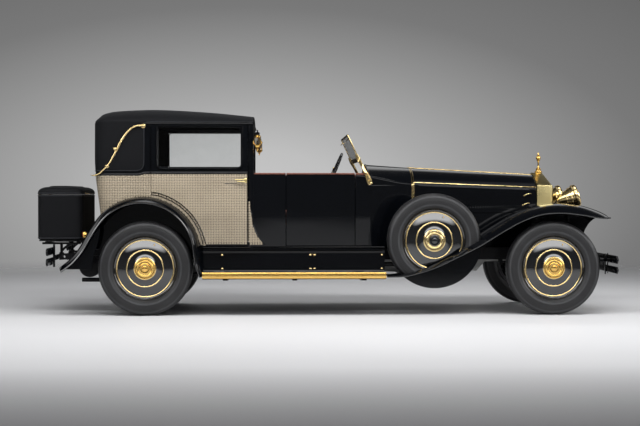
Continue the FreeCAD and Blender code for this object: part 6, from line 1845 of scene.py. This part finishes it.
world = bpy.data.worlds.new("studio")
bpy.context.scene.world = world
world.use_nodes = True
tree = world.node_tree
light = tree.nodes["Background"]
light.inputs[0].default_value, light.inputs[1].default_value = (0.8, 0.82, 0.86, 1), 0.2
spot, height, path = (tree.nodes.new("ShaderNode" + kind) for kind in ("TexCoord", "SeparateXYZ", "LightPath"))
away, squeeze, reach = (tree.nodes.new("ShaderNodeVectorMath") for _ in range(3))
away.operation, squeeze.operation, reach.operation = "SUBTRACT", "MULTIPLY", "LENGTH"
away.inputs[1].default_value, squeeze.inputs[1].default_value = (-0.018, 1.0, 0.003), (1.0, 1.0, 2.2)
for one, other in ((spot.outputs["Generated"], height.inputs[0]), (spot.outputs["Generated"], away.inputs[0]),
        (away.outputs[0], squeeze.inputs[0]), (squeeze.outputs[0], reach.inputs[0])):
    tree.links.new(one, other)
backdrop = sky(reach.outputs[1], [(0.0, 0.56), (0.4, 0.138), (0.062, 0.52), (0.13, 0.4),
    (0.207, 0.29), (0.28, 0.19)])
mirrored = sky(height.outputs["Z"], [(0.0, 0.16), (1.0, 9.0), (0.25, 0.1), (0.36, 5.0), (0.46, 5.0), (0.56, 0.3),
    (0.91, 0.1), (0.972, 1.5)])
# the far side of the studio is dimmer in reflections
dim = tree.nodes.new("ShaderNodeMapRange")
for index, value in ((1, -0.6), (2, 0.6), (3, 1.0), (4, 0.15)):
    dim.inputs[index].default_value = value
tree.links.new(height.outputs["Y"], dim.inputs[0])
tree.links.new(dim.outputs[0], mirrored.inputs[1])
source = light.outputs[0]
for kind, shade in (("Is Glossy Ray", mirrored), ("Is Transmission Ray", backdrop), ("Is Camera Ray", backdrop)):
    either = tree.nodes.new("ShaderNodeMixShader")
    for one, other in ((path.outputs[kind], 0), (source, 1), (shade.outputs[0], 2)):
        tree.links.new(one, either.inputs[other])
    source = either.outputs[0]
tree.links.new(source, tree.nodes["World Output"].inputs[0])


# %% Lamps
def softbox(name, place, aim, size, power, reflected=False):
    """A rectangular lamp at a place, turned to face a point; shiny surfaces mirror it only if it is reflected."""
    lamp = bpy.data.lights.new(name, "AREA")
    lamp.shape, lamp.size, lamp.size_y, lamp.energy = "RECTANGLE", size[0], size[1], power
    holder = bpy.data.objects.new(name, lamp)
    bpy.context.scene.collection.objects.link(holder)
    holder.location, holder.visible_glossy = place, reflected
    direction = np.asarray(aim, float) - place
    holder.rotation_euler = (math.acos(direction[2] / -np.linalg.norm(direction)), 0,
        math.atan2(direction[1], direction[0]) - math.pi / 2)


softbox("overhead", (0.0, -2.2, 3.9), (0.0, -1.6, 0.0), (8.0, 0.8), 270)
softbox("near_side", (-0.5, -16.0, 8.5), (0.0, 0.0, 0.7), (16.0, 5.0), 400)
softbox("edge_strip", (0.3, -6.0, 7.0), (0.3, -0.6, 0.8), (9.5, 0.5), 180, True)
softbox("far_side", (0.5, 3.0, 4.2), (0.0, 1.0, 0.0), (8.0, 0.8), 90)
softbox("front_end", (8.5, -3.0, 3.0), (2.0, 0.0, 0.9), (3.0, 2.0), 120, True)

# %% Camera
camera_data = bpy.data.cameras.new("viewpoint")
camera_data.lens, camera_data.sensor_width = 80.0, 36.0
camera_data.clip_end = 300
camera = bpy.data.objects.new("viewpoint", camera_data)
bpy.context.scene.collection.objects.link(camera)
camera.location = (-0.457, -13.7, 1.1)
camera.rotation_euler = (math.radians(90 - 0.745), 0, math.radians(-1.75))
bpy.context.scene.camera = camera
bpy.context.scene.view_settings.view_transform = "Standard"
print("camera", tuple(round(v, 3) for v in camera.location))

# %% [markdown]
# ## Last lines
# The count of pieces made is printed.

# %% Count of pieces
print(len(MADE), "pieces")
